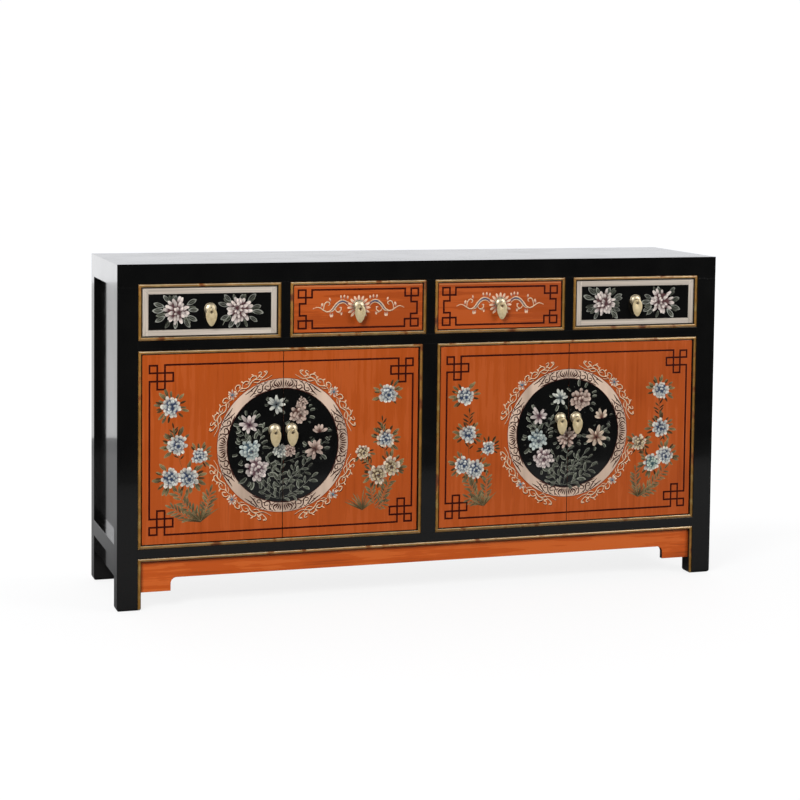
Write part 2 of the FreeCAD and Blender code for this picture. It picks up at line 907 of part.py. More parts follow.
def notched_board(body, start, thickness, front, back, reach):
    """A board between the ends, cut round the four posts."""
    outline = [
        ("-inside_half", front),
        ("inside_half", front),
        ("inside_half", "post_depth"),
        (reach, "post_depth"),
        (reach, "rear_inside"),
        ("inside_half", "rear_inside"),
        ("inside_half", back),
        ("-inside_half", back),
        ("-inside_half", "rear_inside"),
        (f"-({reach})", "rear_inside"),
        (f"-({reach})", "post_depth"),
        ("-inside_half", "post_depth"),
    ]
    slab(body, "plan", start, thickness, outline)
    return seat(body)


def bottom_board():
    start = "floor_board_top - floor_board_thickness"
    front = "rail_depth - groove_depth"
    back = "rear_inside + groove_depth"
    return notched_board(
        new_body("bottom_board"), start, "floor_board_thickness", front, back, "side_rail_inside"
    )


def dust_board():
    front = "rail_depth - groove_depth"
    back = "rear_inside + groove_depth"
    return notched_board(
        new_body("dust_board"), "dust_board_floor", "dust_board_thickness", front, back, "side_panel_inside"
    )


def centre_partition():
    body = new_body("centre_partition")
    outline = [
        ("rail_depth", "floor_board_top"),
        ("rear_inside", "floor_board_top"),
        ("rear_inside", "bay_floor"),
        ("back_panel_front", "bay_floor"),
        ("back_panel_front", "bay_top"),
        ("rear_inside", "bay_top"),
        ("rear_inside", "dust_board_floor"),
        ("rail_depth", "dust_board_floor"),
    ]
    slab(body, "side", "-partition_thickness / 2", "partition_thickness", outline)
    return seat(body)


def shelves():
    pieces = []
    inner = "partition_thickness / 2 + shelf_slack"
    outer = "side_panel_inside - shelf_slack"
    post = "inside_half - shelf_slack"
    for side in (-1, 1):
        body = new_body(f"shelf_{side}")
        outline = [
            (times(side, inner), "back_panel_front - shelf_slack"),
            (times(side, post), "back_panel_front - shelf_slack"),
            (times(side, post), "rear_inside - shelf_slack"),
            (times(side, outer), "rear_inside - shelf_slack"),
            (times(side, outer), "post_depth + shelf_slack"),
            (times(side, post), "post_depth + shelf_slack"),
            (times(side, post), "shelf_front"),
            (times(side, "stile_width / 2 + shelf_slack"), "shelf_front"),
            (times(side, "stile_width / 2 + shelf_slack"), "rail_depth + shelf_slack"),
            (times(side, inner), "rail_depth + shelf_slack"),
        ]
        slab(body, "plan", "shelf_floor", "shelf_thickness", outline)
        pieces.append(seat(body))
    return group("shelves", pieces)


def shelf_battens():
    pieces = []
    for side in (-1, 1):
        for near, far in (
            ("partition_thickness / 2", "partition_thickness / 2 + batten_thickness"),
            ("side_panel_inside - batten_thickness", "side_panel_inside"),
        ):
            body = new_body(f"batten_{len(pieces) + 1}")
            section = box_outline(
                times(side, near), "shelf_floor - batten_height", times(side, far), "shelf_floor"
            )
            slab(body, "front", "post_depth", "rear_inside - post_depth", section)
            pieces.append(seat(body))
    return group("shelf_battens", pieces)


def drawer_runners():
    """Under each divider a runner with a guide on it, and half a one at each end."""
    pieces = []
    length = "rear_inside - rail_depth"
    top = "drawer_floor + guide_height"
    for number in range(DRAWERS - 1):
        body = new_body(f"runner_{number + 1}")
        guide = "divider_width / 2"
        foot = f"{guide} + drawer_gap + runner_bearing"
        section = [
            (f"-({foot})", "dust_board_top"),
            (foot, "dust_board_top"),
            (foot, "drawer_floor"),
            (guide, "drawer_floor"),
            (guide, top),
            (f"-({guide})", top),
            (f"-({guide})", "drawer_floor"),
            (f"-({foot})", "drawer_floor"),
        ]
        slab(body, "front", "rail_depth", length, section)
        pieces.append(seat(body, across=divider_middle(number)))
    for side in (-1, 1):
        body = new_body(f"end_runner_{side}")
        foot = "inside_half - drawer_gap - runner_bearing"
        section = [
            (times(side, foot), "dust_board_top"),
            (times(side, "side_panel_inside"), "dust_board_top"),
            (times(side, "side_panel_inside"), top),
            (times(side, "inside_half"), top),
            (times(side, "inside_half"), "drawer_floor"),
            (times(side, foot), "drawer_floor"),
        ]
        slab(body, "front", "rail_depth", length, section)
        pieces.append(seat(body))
    return group("drawer_runners", pieces)


# Drawers

def drawer_front(number):
    body = new_body(f"drawer_front_{number + 1}")
    outline = box_outline(
        "-(drawer_half)", "drawer_floor + drawer_gap", "drawer_half", "opening_top - drawer_gap"
    )
    slab(body, "front", "face_recess", "drawer_front_thickness", outline)
    housings = [
        box_outline(times(side, "drawer_inside_half"), "box_floor", times(side, "drawer_half"), "box_top")
        for side in (-1, 1)
    ]
    cut(body, "front", "box_start - drawer_groove", "drawer_groove", *housings)
    groove = box_outline("-(drawer_inside_half)", "tray_floor", "drawer_inside_half", "tray_top")
    cut(body, "front", "box_start - drawer_groove", "drawer_groove", groove)
    hole = shank_outline("0", "drawer_pull_height", "shank_clearance")
    cut(body, "front", "face_recess", "drawer_front_thickness", hole)
    return seat(body, across=drawer_middle(number))


def drawer_box(number):
    """Two sides and the back, which stands on the drawer's bottom."""
    pieces = []
    for side in (-1, 1):
        body = new_body(f"drawer_side_{number + 1}_{side}")
        section = box_outline(
            times(side, "drawer_inside_half"), "box_floor", times(side, "drawer_half"), "box_top"
        )
        start = "box_start - drawer_groove"
        slab(body, "front", start, f"box_end - ({start})", section)
        groove = box_outline(
            times(side, "drawer_inside_half"),
            "tray_floor",
            times(side, "drawer_inside_half + drawer_groove"),
            "tray_top",
        )
        cut(body, "front", start, f"box_end - ({start})", groove)
        housing = box_outline(
            times(side, "drawer_inside_half"),
            "tray_top",
            times(side, "drawer_inside_half + drawer_groove"),
            "box_top",
        )
        cut(body, "front", "box_end - drawer_side_thickness", "drawer_side_thickness", housing)
        pieces.append(seat(body, across=drawer_middle(number)))
    back = new_body(f"drawer_back_{number + 1}")
    reach = "drawer_inside_half + drawer_groove"
    outline = box_outline(f"-({reach})", "tray_top", reach, "box_top - drawer_back_drop")
    slab(back, "front", "box_end - drawer_side_thickness", "drawer_side_thickness", outline)
    pieces.append(seat(back, across=drawer_middle(number)))
    return group(f"drawer_box_{number + 1}", pieces)


def drawer_bottom(number):
    """The bottom, with its long sides in the side grooves and its front edge in the drawer front."""
    body = new_body(f"drawer_bottom_{number + 1}")
    reach = "drawer_inside_half + drawer_groove"
    outline = [
        ("-(drawer_inside_half)", "box_start - drawer_groove"),
        ("drawer_inside_half", "box_start - drawer_groove"),
        ("drawer_inside_half", "box_start"),
        (reach, "box_start"),
        (reach, "box_end"),
        (f"-({reach})", "box_end"),
        (f"-({reach})", "box_start"),
        ("-(drawer_inside_half)", "box_start"),
    ]
    slab(body, "plan", "tray_floor", "drawer_bottom_thickness", outline)
    return seat(body, across=drawer_middle(number))


# Doors, each drawn about its own pin

DOORS = [(place, hand) for place, hand in zip(pivot_places(), (1, -1, 1, -1))]


def door_leaf(number, place, hand):
    body = new_body(f"door_leaf_{number}")
    front = "face_recess"
    back = "face_recess + door_thickness"
    free = times(hand, "door_width - pivot_inset")
    hinge = times(hand, "-pivot_inset")
    outline = [
        (times(hand, "door_arris_round - pivot_inset"), front),
        (free, front),
        (free, back),
        (hinge, back),
        (hinge, f"{front} + door_arris_round", "door_arris_round", hand),
    ]
    floor = "bay_floor + door_gap"
    slab(body, "plan", floor, f"bay_top - door_gap - ({floor})", outline)
    bore = ("0", "pin_depth", "pin_radius + pin_fit")
    cut(body, "plan", floor, "pin_in_door", bore)
    cut(body, "plan", "bay_top - door_gap - pin_in_door", "pin_in_door", bore)
    hole = shank_outline(times(hand, "door_pull_reach"), "door_pull_height", "shank_clearance")
    cut(body, "front", front, "door_thickness", hole)
    return seat(body, across=place)


def door_pins(number, place):
    """The brass pins in the top and bottom edges. The lower one carries the door on its collar."""
    lower = new_body(f"lower_pin_{number}")
    foot = "bay_floor - pin_in_rail"
    edge = "bay_floor + door_gap"
    slab(lower, "plan", foot, f"{edge} + pin_in_door - ({foot})", ("0", "0", "pin_radius"))
    collar = ring_outline("0", "0", "collar_radius", "collar_radius", COLLAR_SIDES)
    slab(lower, "plan", "bay_floor + collar_clearance", "door_gap - collar_clearance", collar)
    upper = new_body(f"upper_pin_{number}")
    start = "bay_top - door_gap - pin_in_door"
    slab(upper, "plan", start, f"bay_top + pin_in_rail - ({start})", ("0", "0", "pin_radius"))
    pieces = [seat(pin, across=place, depth="pin_depth") for pin in (lower, upper)]
    return group(f"door_pins_{number}", pieces)


# Pulls, each drawn about the middle of its eye, with y at nought on the face that carries it

DOME_SHARES = (0, 0.4, 0.75, 0.96)
EGG_SHARE = 0.2


def dome():
    """A cap of a sphere over the boss's round foot, in flat facets between rings of corners."""
    foot, height, radius = size("boss_radius"), size("boss_height"), size("dome_radius")
    rings = []
    for share in DOME_SHARES:
        across = foot if not share else math.sqrt(radius**2 - (radius - height + share * height) ** 2)
        turns = [2 * math.pi * corner / BOSS_SIDES for corner in range(BOSS_SIDES)]
        ring = [FreeCAD.Vector(across * math.cos(turn), -share * height, across * math.sin(turn)) for turn in turns]
        rings.append(ring + ring[:1])
    faces = [Part.Face(Part.makePolygon(ring)) for ring in (rings[0], rings[-1])]
    for low, high in zip(rings, rings[1:]):
        for corner in range(BOSS_SIDES):
            quad = [low[corner], low[corner + 1], high[corner + 1], high[corner], low[corner]]
            faces.append(Part.Face(Part.makePolygon(quad)))
    feature = doc.addObject("Part::Feature", "Dome")
    feature.Shape = Part.Solid(Part.Shell(faces))
    return feature


def pull_boss(label, place, height, wood):
    """A domed boss. The eye on it carries the drop, and its shank ends in two legs bent over on the far side."""
    pin = new_body(f"{label}_pin")
    slab(pin, "front", "0", wood, shank_outline("0", "0", "0"))
    legs = box_outline("-leg_width / 2", "-leg_span / 2", "leg_width / 2", "leg_span / 2")
    slab(pin, "front", wood, "leg_thickness", legs)
    eye = new_body(f"{label}_eye")
    outside = ring_outline("-drop_plane", "0", "eye_outside", "eye_outside", EYE_SIDES)
    inside = ring_outline("-drop_plane", "0", "eye_inside", "eye_inside", EYE_SIDES)
    slab(eye, "side", "-eye_thickness / 2", "eye_thickness", outside, inside)
    boss = doc.addObject("Part::MultiFuse", "Boss")
    boss.Label = label
    boss.Shapes = [dome(), pin, eye]
    return seat(boss, across=place, up=height, depth="face_recess")


def egg_outline(middle, wide, high, sides):
    """A circle of short sides drawn out to an egg with its narrow end down, wide and high being its half lengths."""
    turns = [2 * math.pi * corner / sides for corner in range(sides)]
    swell = [math.sin(turn) * (1 + EGG_SHARE * math.cos(turn)) for turn in turns]
    return [
        (f"({wide}) * ({across / max(swell):.6f})", f"{middle} + ({high}) * ({math.cos(turn):.6f})")
        for across, turn in zip(swell, turns)
    ]


def pull_drop(label, place, height):
    """A flat egg-shaped drop, hung from the eye by the hole in its head."""
    body = new_body(label)
    egg = egg_outline("drop_head - drop_length / 2", "drop_width / 2", "drop_length / 2", DROP_SIDES)
    hole = ring_outline("0", "-eye_radius", "drop_hole_radius", "drop_hole_radius", HOLE_SIDES)
    slab(body, "front", "-drop_thickness / 2", "drop_thickness", egg, hole)
    return seat(body, across=place, up=height, depth="face_recess - drop_plane")


def drawers():
    pieces = []
    for number in range(DRAWERS):
        pieces += [drawer_front(number), drawer_box(number), drawer_bottom(number)]
        place = drawer_middle(number)
        pieces.append(
            pull_boss(f"drawer_pull_boss_{number + 1}", place, "drawer_pull_height", "drawer_front_thickness")
        )
        pieces.append(pull_drop(f"drawer_pull_drop_{number + 1}", place, "drawer_pull_height"))
    return pieces


def doors():
    pieces = []
    for number, (place, hand) in enumerate(DOORS, start=1):
        pieces += [door_leaf(number, place, hand), door_pins(number, place)]
        across = f"{place} + {times(hand, 'door_pull_reach')}"
        pieces.append(pull_boss(f"door_pull_boss_{number}", across, "door_pull_height", "door_thickness"))
        pieces.append(pull_drop(f"door_pull_drop_{number}", across, "door_pull_height"))
    return pieces


def frame():
    return [
        post_front("post_front_left", -1),
        post_front("post_front_right", 1),
        post_rear("post_rear_left", -1),
        post_rear("post_rear_right", 1),
        top_panel(),
        top_rail_front(),
        top_rail_rear(),
        top_side_rails(),
        drawer_rail(),
        bottom_rail_front(),
        rear_rails(),
        bottom_side_rails(),
        drawer_dividers(),
        centre_stile(),
        side_panels(),
        side_aprons(),
        back_panel(),
        apron_front(),
    ]


def inside():
    return [
        bottom_board(),
        dust_board(),
        centre_partition(),
        shelves(),
        shelf_battens(),
        drawer_runners(),
    ]


def check(pieces):
    """Stops unless every object built, every cut took something away and every piece is sound."""
    for thing in doc.Objects:
        if {"Invalid", "Error"} & set(thing.State):
            raise RuntimeError(f"{thing.Name} ({thing.Label}) failed: {thing.State}")
        if thing.TypeId == "PartDesign::Pocket":
            if not thing.Shape.Volume < thing.BaseFeature.Shape.Volume:
                raise RuntimeError(f"{thing.Name} cuts nothing")
    for piece in pieces:
        if piece.Shape.isNull() or not piece.Shape.isValid() or not piece.Shape.Solids:
            raise RuntimeError(f"{piece.Label} has no sound solid")


nodes = frame() + inside() + drawers() + doors()
doc.recompute()
check(nodes)

os.makedirs("parts", exist_ok=True)
for node in nodes:
    node.Shape.exportStep(f"parts/{node.Label}.step")
    print(node.Label, len(node.Shape.Solids), round(node.Shape.Volume))
box = Part.makeCompound([node.Shape for node in nodes]).BoundBox
print(len(nodes), "nodes", box)
print("inside half", size("inside_half"), "front face", size("front_face"))
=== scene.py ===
import logging
import math
import random
from collections.abc import Callable, Iterable, Sequence
from dataclasses import dataclass, field
from enum import Enum
from functools import partial

import bmesh
import bpy
from mathutils import Matrix, Vector


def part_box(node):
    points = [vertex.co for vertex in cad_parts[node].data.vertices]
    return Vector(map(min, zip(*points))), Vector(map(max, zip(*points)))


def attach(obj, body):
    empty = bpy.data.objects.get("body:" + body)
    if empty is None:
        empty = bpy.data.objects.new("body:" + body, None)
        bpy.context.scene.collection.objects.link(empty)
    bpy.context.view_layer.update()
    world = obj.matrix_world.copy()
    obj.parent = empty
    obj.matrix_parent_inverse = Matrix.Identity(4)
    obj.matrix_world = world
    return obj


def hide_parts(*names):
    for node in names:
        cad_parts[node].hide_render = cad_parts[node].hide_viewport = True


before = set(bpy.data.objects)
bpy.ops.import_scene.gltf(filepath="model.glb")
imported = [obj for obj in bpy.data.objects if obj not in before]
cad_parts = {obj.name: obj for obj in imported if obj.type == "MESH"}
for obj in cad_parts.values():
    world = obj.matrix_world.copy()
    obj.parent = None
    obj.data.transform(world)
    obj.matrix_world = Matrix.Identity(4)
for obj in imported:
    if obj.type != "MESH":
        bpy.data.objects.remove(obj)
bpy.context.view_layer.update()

MM = 0.001
FORWARD = (math.pi / 2, 0, 0)
log = logging.getLogger("sideboard")

Point = tuple[float, float]
Point3 = tuple[float, float, float]
Piece = bpy.types.Object
Node = bpy.types.Node
Socket = bpy.types.NodeSocket
Add = Callable[..., Node]


# Colours and nodes


def linear(shade: str) -> tuple[float, float, float, float]:
    """Turns an sRGB hex colour into linear light.

    Args:
        shade: Six hex digits after a hash.

    Returns:
        Red, green, blue and a full alpha.
    """
    channels = [int(shade[place : place + 2], 16) / 255 for place in (1, 3, 5)]
    light = [c / 12.92 if c <= 0.04045 else ((c + 0.055) / 1.055) ** 2.4 for c in channels]
    return (light[0], light[1], light[2], 1.0)


def add_node(
    tree: bpy.types.NodeTree, kind: str, *values: object, named: dict[str, object] | None = None, **settings: object
) -> Node:
    """Adds one node.

    Args:
        tree: The tree that gets it.
        kind: The node's type name, without the prefix that all share.
        values: Its inputs in order, of those that its settings leave open. A node is linked by its first open
            output, a socket by itself, and anything else is a value.
        named: More inputs, by name.
        settings: The node's own settings.

    Returns:
        The new node.
    """
    node = tree.nodes.new(f"ShaderNode{kind}")
    for name, value in settings.items():
        setattr(node, name, value)
    places = [socket for socket in node.inputs if socket.enabled]
    for place, value in (*zip(places, values), *((node.inputs[name], value) for name, value in (named or {}).items())):
        if isinstance(value, Node):
            value = next(socket for socket in value.outputs if socket.enabled)
        if isinstance(value, Socket):
            tree.links.new(value, place)
        else:
            place.default_value = value
    return node


def set_ramp(ramp: Node, *stops: tuple[float, str]) -> Node:
    """Gives a colour ramp its stops, each a place and a hex colour."""
    elements = ramp.color_ramp.elements
    while len(elements) > 1:
        elements.remove(elements[-1])
    elements[0].position, elements[0].color = stops[0][0], linear(stops[0][1])
    for place, shade in stops[1:]:
        elements.new(place).color = linear(shade)
    return ramp


def facing(add: Add, axis: int) -> Node:
    """How squarely a face looks along an axis, from nought to one."""
    normal = add("SeparateXYZ", add("TexCoord").outputs["Normal"])
    return add("Math", normal.outputs[axis], operation="ABSOLUTE")


@dataclass(frozen=True)
class Finish:
    """A finish, which makes its own material."""

    name: str

    def material(self) -> bpy.types.Material:
        """The material, made once and then found again by its name."""
        made = bpy.data.materials.get(self.name)
        if made is None:
            made = bpy.data.materials.new(self.name)
            made.use_nodes = True
            made.node_tree.nodes.clear()
            add = partial(add_node, made.node_tree)
            add("OutputMaterial", self.shade(add))
        return made

    def shade(self, add: Add) -> Node:
        """Builds the nodes with a function that adds one, and gives the shader."""
        raise NotImplementedError

    def dress(self, *pieces: Piece) -> None:
        """Puts the finish on pieces in place of what they had."""
        for piece in pieces:
            piece.data.materials.clear()
            piece.data.materials.append(self.material())


@dataclass(frozen=True)
class BlackLacquer(Finish):
    """Black lacquer over a wooden ground, brushed on in coats and rubbed to a deep wet gloss.

    It gives near black with a sharp reflection, a faint cloudiness from rubbing, and hairline scratches.
    """

    shade_deep: str = "#070708"
    shade_dust: str = "#121211"
    roughness: float = 0.11
    cloud_mm: float = 90.0
    scratch_mm: float = 1.6
    edge_mm: float = 1.2

    def ground(self, add: Add) -> tuple[Node, Node, Node, Socket]:
        """The colour, roughness and normal of the plain lacquer, and the place on the object."""
        place = add("TexCoord").outputs["Object"]
        cloud = add("TexNoise", place, 1 / (self.cloud_mm * MM), 5.0)
        stretch = add("Mapping", place, named={"Scale": (0.08, 1.0, 1.0)})
        scratch = add("TexNoise", stretch, 1 / (self.scratch_mm * MM), 2.0)
        colour = add("Mix", cloud, linear(self.shade_deep), linear(self.shade_dust), data_type="RGBA")
        gloss = add("MapRange", cloud, 0.3, 0.75, self.roughness * 0.8, self.roughness * 1.6)
        edge = add("Bevel", self.edge_mm * MM, samples=4)
        bump = add("Bump", named={"Strength": 0.05, "Distance": 0.02 * MM, "Height": scratch, "Normal": edge})
        return colour, gloss, bump, place

    def shade(self, add: Add) -> Node:
        """Builds the nodes and gives the shader."""
        colour, gloss, normal, _ = self.ground(add)
        wet = {"IOR": 1.54, "Coat Weight": 0.5, "Coat Roughness": 0.04, "Coat IOR": 1.5}
        return add("BsdfPrincipled", named={"Base Color": colour, "Roughness": gloss, "Normal": normal, **wet})


@dataclass(frozen=True)
class BlackLacquerGiltBead(BlackLacquer):
    """The same black lacquer, with the bead round each opening laid in gold leaf over red bole.

    The leaf is thin: it is rubbed through to brown and red along the bead, and pale where it still stands.
    """

    gold: str = "#AC7C36"
    gold_pale: str = "#CFAE66"
    # A pale colour painted on as a highlight where the bead's face tilts up or down.
    gold_painted_highlight: str = "#F4E0BC"
    bole: str = "#83481E"
    bole_deep: str = "#3A1C0C"
    rub_mm: float = 38.0
    bead: float = 9.2
    drawer_pitch: float = 380.0
    drawer_half: Point = (170.0, 60.5)
    drawer_level: float = 732.5
    bay_middle: Point = (384.0, 395.0)
    bay_half: Point = (356.0, 235.0)
    knee: Point = (740.0, 120.0)

    def band(self, add: Add, across: object, up: object, half: Point) -> Node:
        """How far a point lies from the middle of the bead round a rectangle, in metres.

        Args:
            add: Adds a node.
            across: The distance from the rectangle's middle, already without its sign.
            up: The same, upwards.
            half: The rectangle's half sizes in millimetres.

        Returns:
            The node that gives the distance.
        """
        wide = add("Math", across, half[0] * MM, operation="SUBTRACT")
        high = add("Math", up, half[1] * MM, operation="SUBTRACT")
        reach = add("Math", wide, high, operation="MAXIMUM")
        return add("Math", add("Math", reach, self.bead * MM / 2, operation="SUBTRACT"), operation="ABSOLUTE")

    def mask(self, add: Add, place: Socket) -> Node:
        """One along the middle of each bead, falling to nought at its edges."""
        x, y, z = add("SeparateXYZ", place).outputs
        side = add("Math", x, operation="ABSOLUTE")
        inner = add("Math", side, 2 * self.drawer_pitch * MM, operation="MINIMUM")
        folded = add("Math", inner, self.drawer_pitch * MM, operation="MODULO")
        bay_across, bay_up = self.bay_middle
        middles = ((folded, self.drawer_pitch / 2), (z, self.drawer_level), (side, bay_across), (z, bay_up))
        drawer_x, drawer_z, bay_x, bay_z = (
            add("Math", add("Math", axis, middle * MM, operation="SUBTRACT"), operation="ABSOLUTE")
            for axis, middle in middles
        )
        nearest = self.band(add, drawer_x, drawer_z, self.drawer_half)
        for across, up, half in ((bay_x, bay_z, self.bay_half), (side, z, self.knee)):
            nearest = add("Math", nearest, self.band(add, across, up, half), operation="MINIMUM")
        near = add("MapRange", nearest, self.bead * MM * 0.25, self.bead * MM * 0.46, 1.0, 0.0)
        ahead = add("Math", y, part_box("drawer_rail")[0].y + self.bead * MM, operation="LESS_THAN")
        return add("Math", near, ahead, operation="MULTIPLY")

    def shade(self, add: Add) -> Node:
        """Builds the nodes and gives the shader."""
        colour, gloss, normal, place = self.ground(add)
        on_bead = self.mask(add, place)
        rub = add("TexNoise", place, 1 / (self.rub_mm * MM), 6.0)
        bole, gold = ((0.22, self.bole_deep), (0.34, self.bole)), ((0.45, self.gold), (0.60, self.gold))
        worn = set_ramp(add("ValToRGB", rub), *bole, *gold, (0.74, self.gold_pale))
        # Painted highlight: pale gold laid where the bead's face tilts up or down and the leaf still stands, as if lit
        # from above.
        highlight_by_slope = add("MapRange", facing(add, 2), 0.3, 0.62, 0.0, 0.85)
        lit = add("Math", highlight_by_slope, add("MapRange", rub, 0.36, 0.46), operation="MULTIPLY")
        gilt = add("Mix", lit, worn, linear(self.gold_painted_highlight), data_type="RGBA")
        painted = add("Mix", on_bead, colour, gilt, data_type="RGBA")
        shine = add("Math", add("MapRange", rub, 0.42, 0.52), on_bead, operation="MULTIPLY")
        half_metal = add("Math", shine, 0.55, operation="MULTIPLY")
        dull = add("Math", on_bead, 0.26, gloss, operation="MULTIPLY_ADD")
        wet = {"IOR": 1.54, "Coat Weight": 0.4, "Coat Roughness": 0.05, "Coat IOR": 1.5}
        surface = {"Base Color": painted, "Metallic": half_metal, "Roughness": dull, "Normal": normal}
        return add("BsdfPrincipled", named={**surface, **wet})


@dataclass(frozen=True)
class OrangeLacquer(Finish):
    """Orange-red lacquer brushed thinly over boards, then rubbed back.

    The brush left long streaks along the board, the wood shows through as browner bands, and the rubbing
    has left it satin and darker in the hollows. The upright edges of a board show the dark undercoat.
    """

    shade_main: str = "#B85116"
    shade_deep: str = "#A6460E"
    shade_light: str = "#C0581F"
    shade_worn: str = "#7A3414"
    shade_under: str = "#2A120A"
    streak_mm: float = 11.0
    streak_long: float = 0.035
    cloud_mm: float = 210.0
    speck_mm: float = 4.0
    upright: bool = True

    def shade(self, add: Add) -> Node:
        """Builds the nodes and gives the shader."""
        place = add("TexCoord").outputs["Object"]
        run = (1.0, 1.0, self.streak_long) if self.upright else (self.streak_long, 1.0, 1.0)
        along = add("Mapping", place, named={"Scale": run})
        streak = add("TexNoise", along, 1 / (self.streak_mm * MM), 7.0, 0.62)
        cloud = add("TexNoise", place, 1 / (self.cloud_mm * MM), 3.0)
        tone = add("Math", cloud, 0.9, streak, operation="MULTIPLY_ADD")
        stops = ((0.66, self.shade_deep), (0.86, self.shade_main), (0.98, self.shade_main), (1.0, self.shade_light))
        brushed = set_ramp(add("ValToRGB", tone), *stops)
        speck = add("TexNoise", along, 1 / (self.speck_mm * MM), 4.0)
        worn = add("MapRange", speck, 0.66, 0.78, 0.0, 0.55)
        mixed = add("Mix", worn, brushed, linear(self.shade_worn), data_type="RGBA")
        on_edge = add("Math", facing(add, 0), 0.8, operation="GREATER_THAN")
        colour = add("Mix", on_edge, mixed, linear(self.shade_under), data_type="RGBA")
        rough = add("MapRange", streak, 0.3, 0.7, 0.30, 0.42)
        edge = add("Bevel", 1.5 * MM, samples=4)
        bump = add("Bump", named={"Strength": 0.18, "Distance": 0.06 * MM, "Height": streak, "Normal": edge})
        satin = {"IOR": 1.5, "Coat Weight": 0.15, "Coat Roughness": 0.18}
        return add("BsdfPrincipled", named={"Base Color": colour, "Roughness": rough, "Normal": bump, **satin})


@dataclass(frozen=True)
class PlanedElm(Finish):
    """Elm boards, planed and lightly waxed, as on the pieces inside that nobody lacquers.

    It gives a warm mid brown with streaks drawn out along each board, and open pores. Boards that face sideways run
    from front to back, and all others from side to side.
    """

    light: str = "#BC9160"
    dark: str = "#8E6339"
    streak_mm: float = 11.0
    pore_mm: float = 1.5
    shrink: float = 0.045

    def shade(self, add: Add) -> Node:
        """Builds the nodes and gives the shader."""
        place = add("TexCoord").outputs["Object"]
        sideways = add("Math", facing(add, 0), 0.5, operation="GREATER_THAN")
        across = add("Math", sideways, 1 - self.shrink, self.shrink, operation="MULTIPLY_ADD")
        back = add("Math", sideways, self.shrink - 1, 1.0, operation="MULTIPLY_ADD")
        along = add("VectorMath", place, add("CombineXYZ", across, back, 1.0), operation="MULTIPLY")
        streak = add("TexNoise", along, 1 / (self.streak_mm * MM), 5.0, named={"Distortion": 0.4})
        pore = add("TexNoise", along, 1 / (self.pore_mm * MM), 2.0)
        mixed = add("Math", pore, 0.35, streak, operation="MULTIPLY_ADD")
        colour = set_ramp(add("ValToRGB", mixed), (0.5, self.dark), (0.86, self.light))
        bump = add("Bump", named={"Strength": 0.2, "Distance": 0.1 * MM, "Height": pore})
        return add("BsdfPrincipled", named={"Base Color": colour, "Roughness": 0.55, "Normal": bump, "IOR": 1.5})


@dataclass(frozen=True)
class AgedBrass(Finish):
    """Yellow brass, turned or cut from sheet, polished once and handled since.

    It gives a pale gold with soft brown in the hollows and slightly uneven gloss. Faces that turn away from the front
    are darkened with painted shade: the flanks of the turned dome and the eased rim of the sheet.
    """

    bright: str = "#D6BE8C"
    brown: str = "#9C8250"
    roughness: float = 0.3
    body: float = 1.0
    # Painted shade: faces turned away from the front darken towards the colour edge, by up to this share, between two
    # facings.
    turned_away_shade: float = 0.0
    edge: str = "#4A3618"
    shade_from_facing: float = 0.97
    shade_full_facing: float = 0.9
    tarnish_mm: float = 9.0
    fine_mm: float = 0.8

    def shade(self, add: Add) -> Node:
        """Builds the nodes and gives the shader."""
        place = add("TexCoord").outputs["Object"]
        tarnish = add("TexNoise", place, 1 / (self.tarnish_mm * MM), 4.0)
        handled = set_ramp(add("ValToRGB", tarnish), (0.28, self.brown), (0.55, self.bright))
        # Painted shade: darker where the face turns away from the front, on the dome's flanks and the drop's rim.
        rim = add("MapRange", facing(add, 1), self.shade_from_facing, self.shade_full_facing, 0.0, self.turned_away_shade)
        colour = add("Mix", rim, handled, linear(self.edge), data_type="RGBA")
        rough = add("MapRange", tarnish, 0.0, 1.0, self.roughness + 0.1, self.roughness - 0.08)
        fine = add("TexNoise", place, 1 / (self.fine_mm * MM), 2.0)
        bump = add("Bump", named={"Strength": 0.1, "Distance": 0.01 * MM, "Height": fine})
        surface = {"Base Color": colour, "Metallic": self.body, "Roughness": rough, "Normal": bump}
        return add("BsdfPrincipled", named=surface)


@dataclass(frozen=True)
class BrushedColour(Finish):
    """Mineral colour in oil, laid on the lacquer with a small brush and drawn out with a finer one.

    Each stroke fades from its root to its tip and has a paler or darker rim, and the hairs of the brush
    leave fine lines along it. The colours come from the stroke's own attributes.
    """

    hair_count: float = 7.0
    hair_shift: Point3 = (57.0, 91.0, 0.0)

    def shade(self, add: Add) -> Node:
        """Builds the nodes and gives the shader."""
        root, tip, rim = (add("Attribute", attribute_name=name) for name in ("Root", "Tip", "Rim"))
        stroke = add("UVMap", uv_map="Stroke")
        across, up, _ = add("SeparateXYZ", stroke).outputs
        fade = add("MapRange", up, 0.12, 0.75, interpolation_type="SMOOTHSTEP")
        body = add("Mix", fade, root, tip, data_type="RGBA")
        shift = add("VectorMath", self.hair_shift, root.outputs["Alpha"], operation="SCALE")
        moved = add("VectorMath", stroke, shift, operation="ADD")
        hair = add("TexNoise", add("Mapping", moved, named={"Scale": (self.hair_count, 0.9, 1.0)}), 1.0, 3.0)
        combed = add("VectorMath", body, add("MapRange", hair, 0.36, 0.64, 0.72, 1.12), operation="SCALE")
        off = add("Math", add("Math", across, 0.5, operation="SUBTRACT"), operation="ABSOLUTE")
        rib = add("MapRange", off, 0.09, 0.05, 0.0, 0.8)
        ribbed = add("Math", rib, tip.outputs["Alpha"], operation="MULTIPLY")
        outline = add("MapRange", rim.outputs["Alpha"], 0.3, 0.5, interpolation_type="SMOOTHSTEP")
        edged = add("Mix", add("Math", ribbed, outline, operation="MAXIMUM"), combed, rim, data_type="RGBA")
        surface = {"Base Color": edged, "Roughness": 0.5, "Specular IOR Level": 0.16, "IOR": 1.48}
        return add("BsdfPrincipled", named=surface)


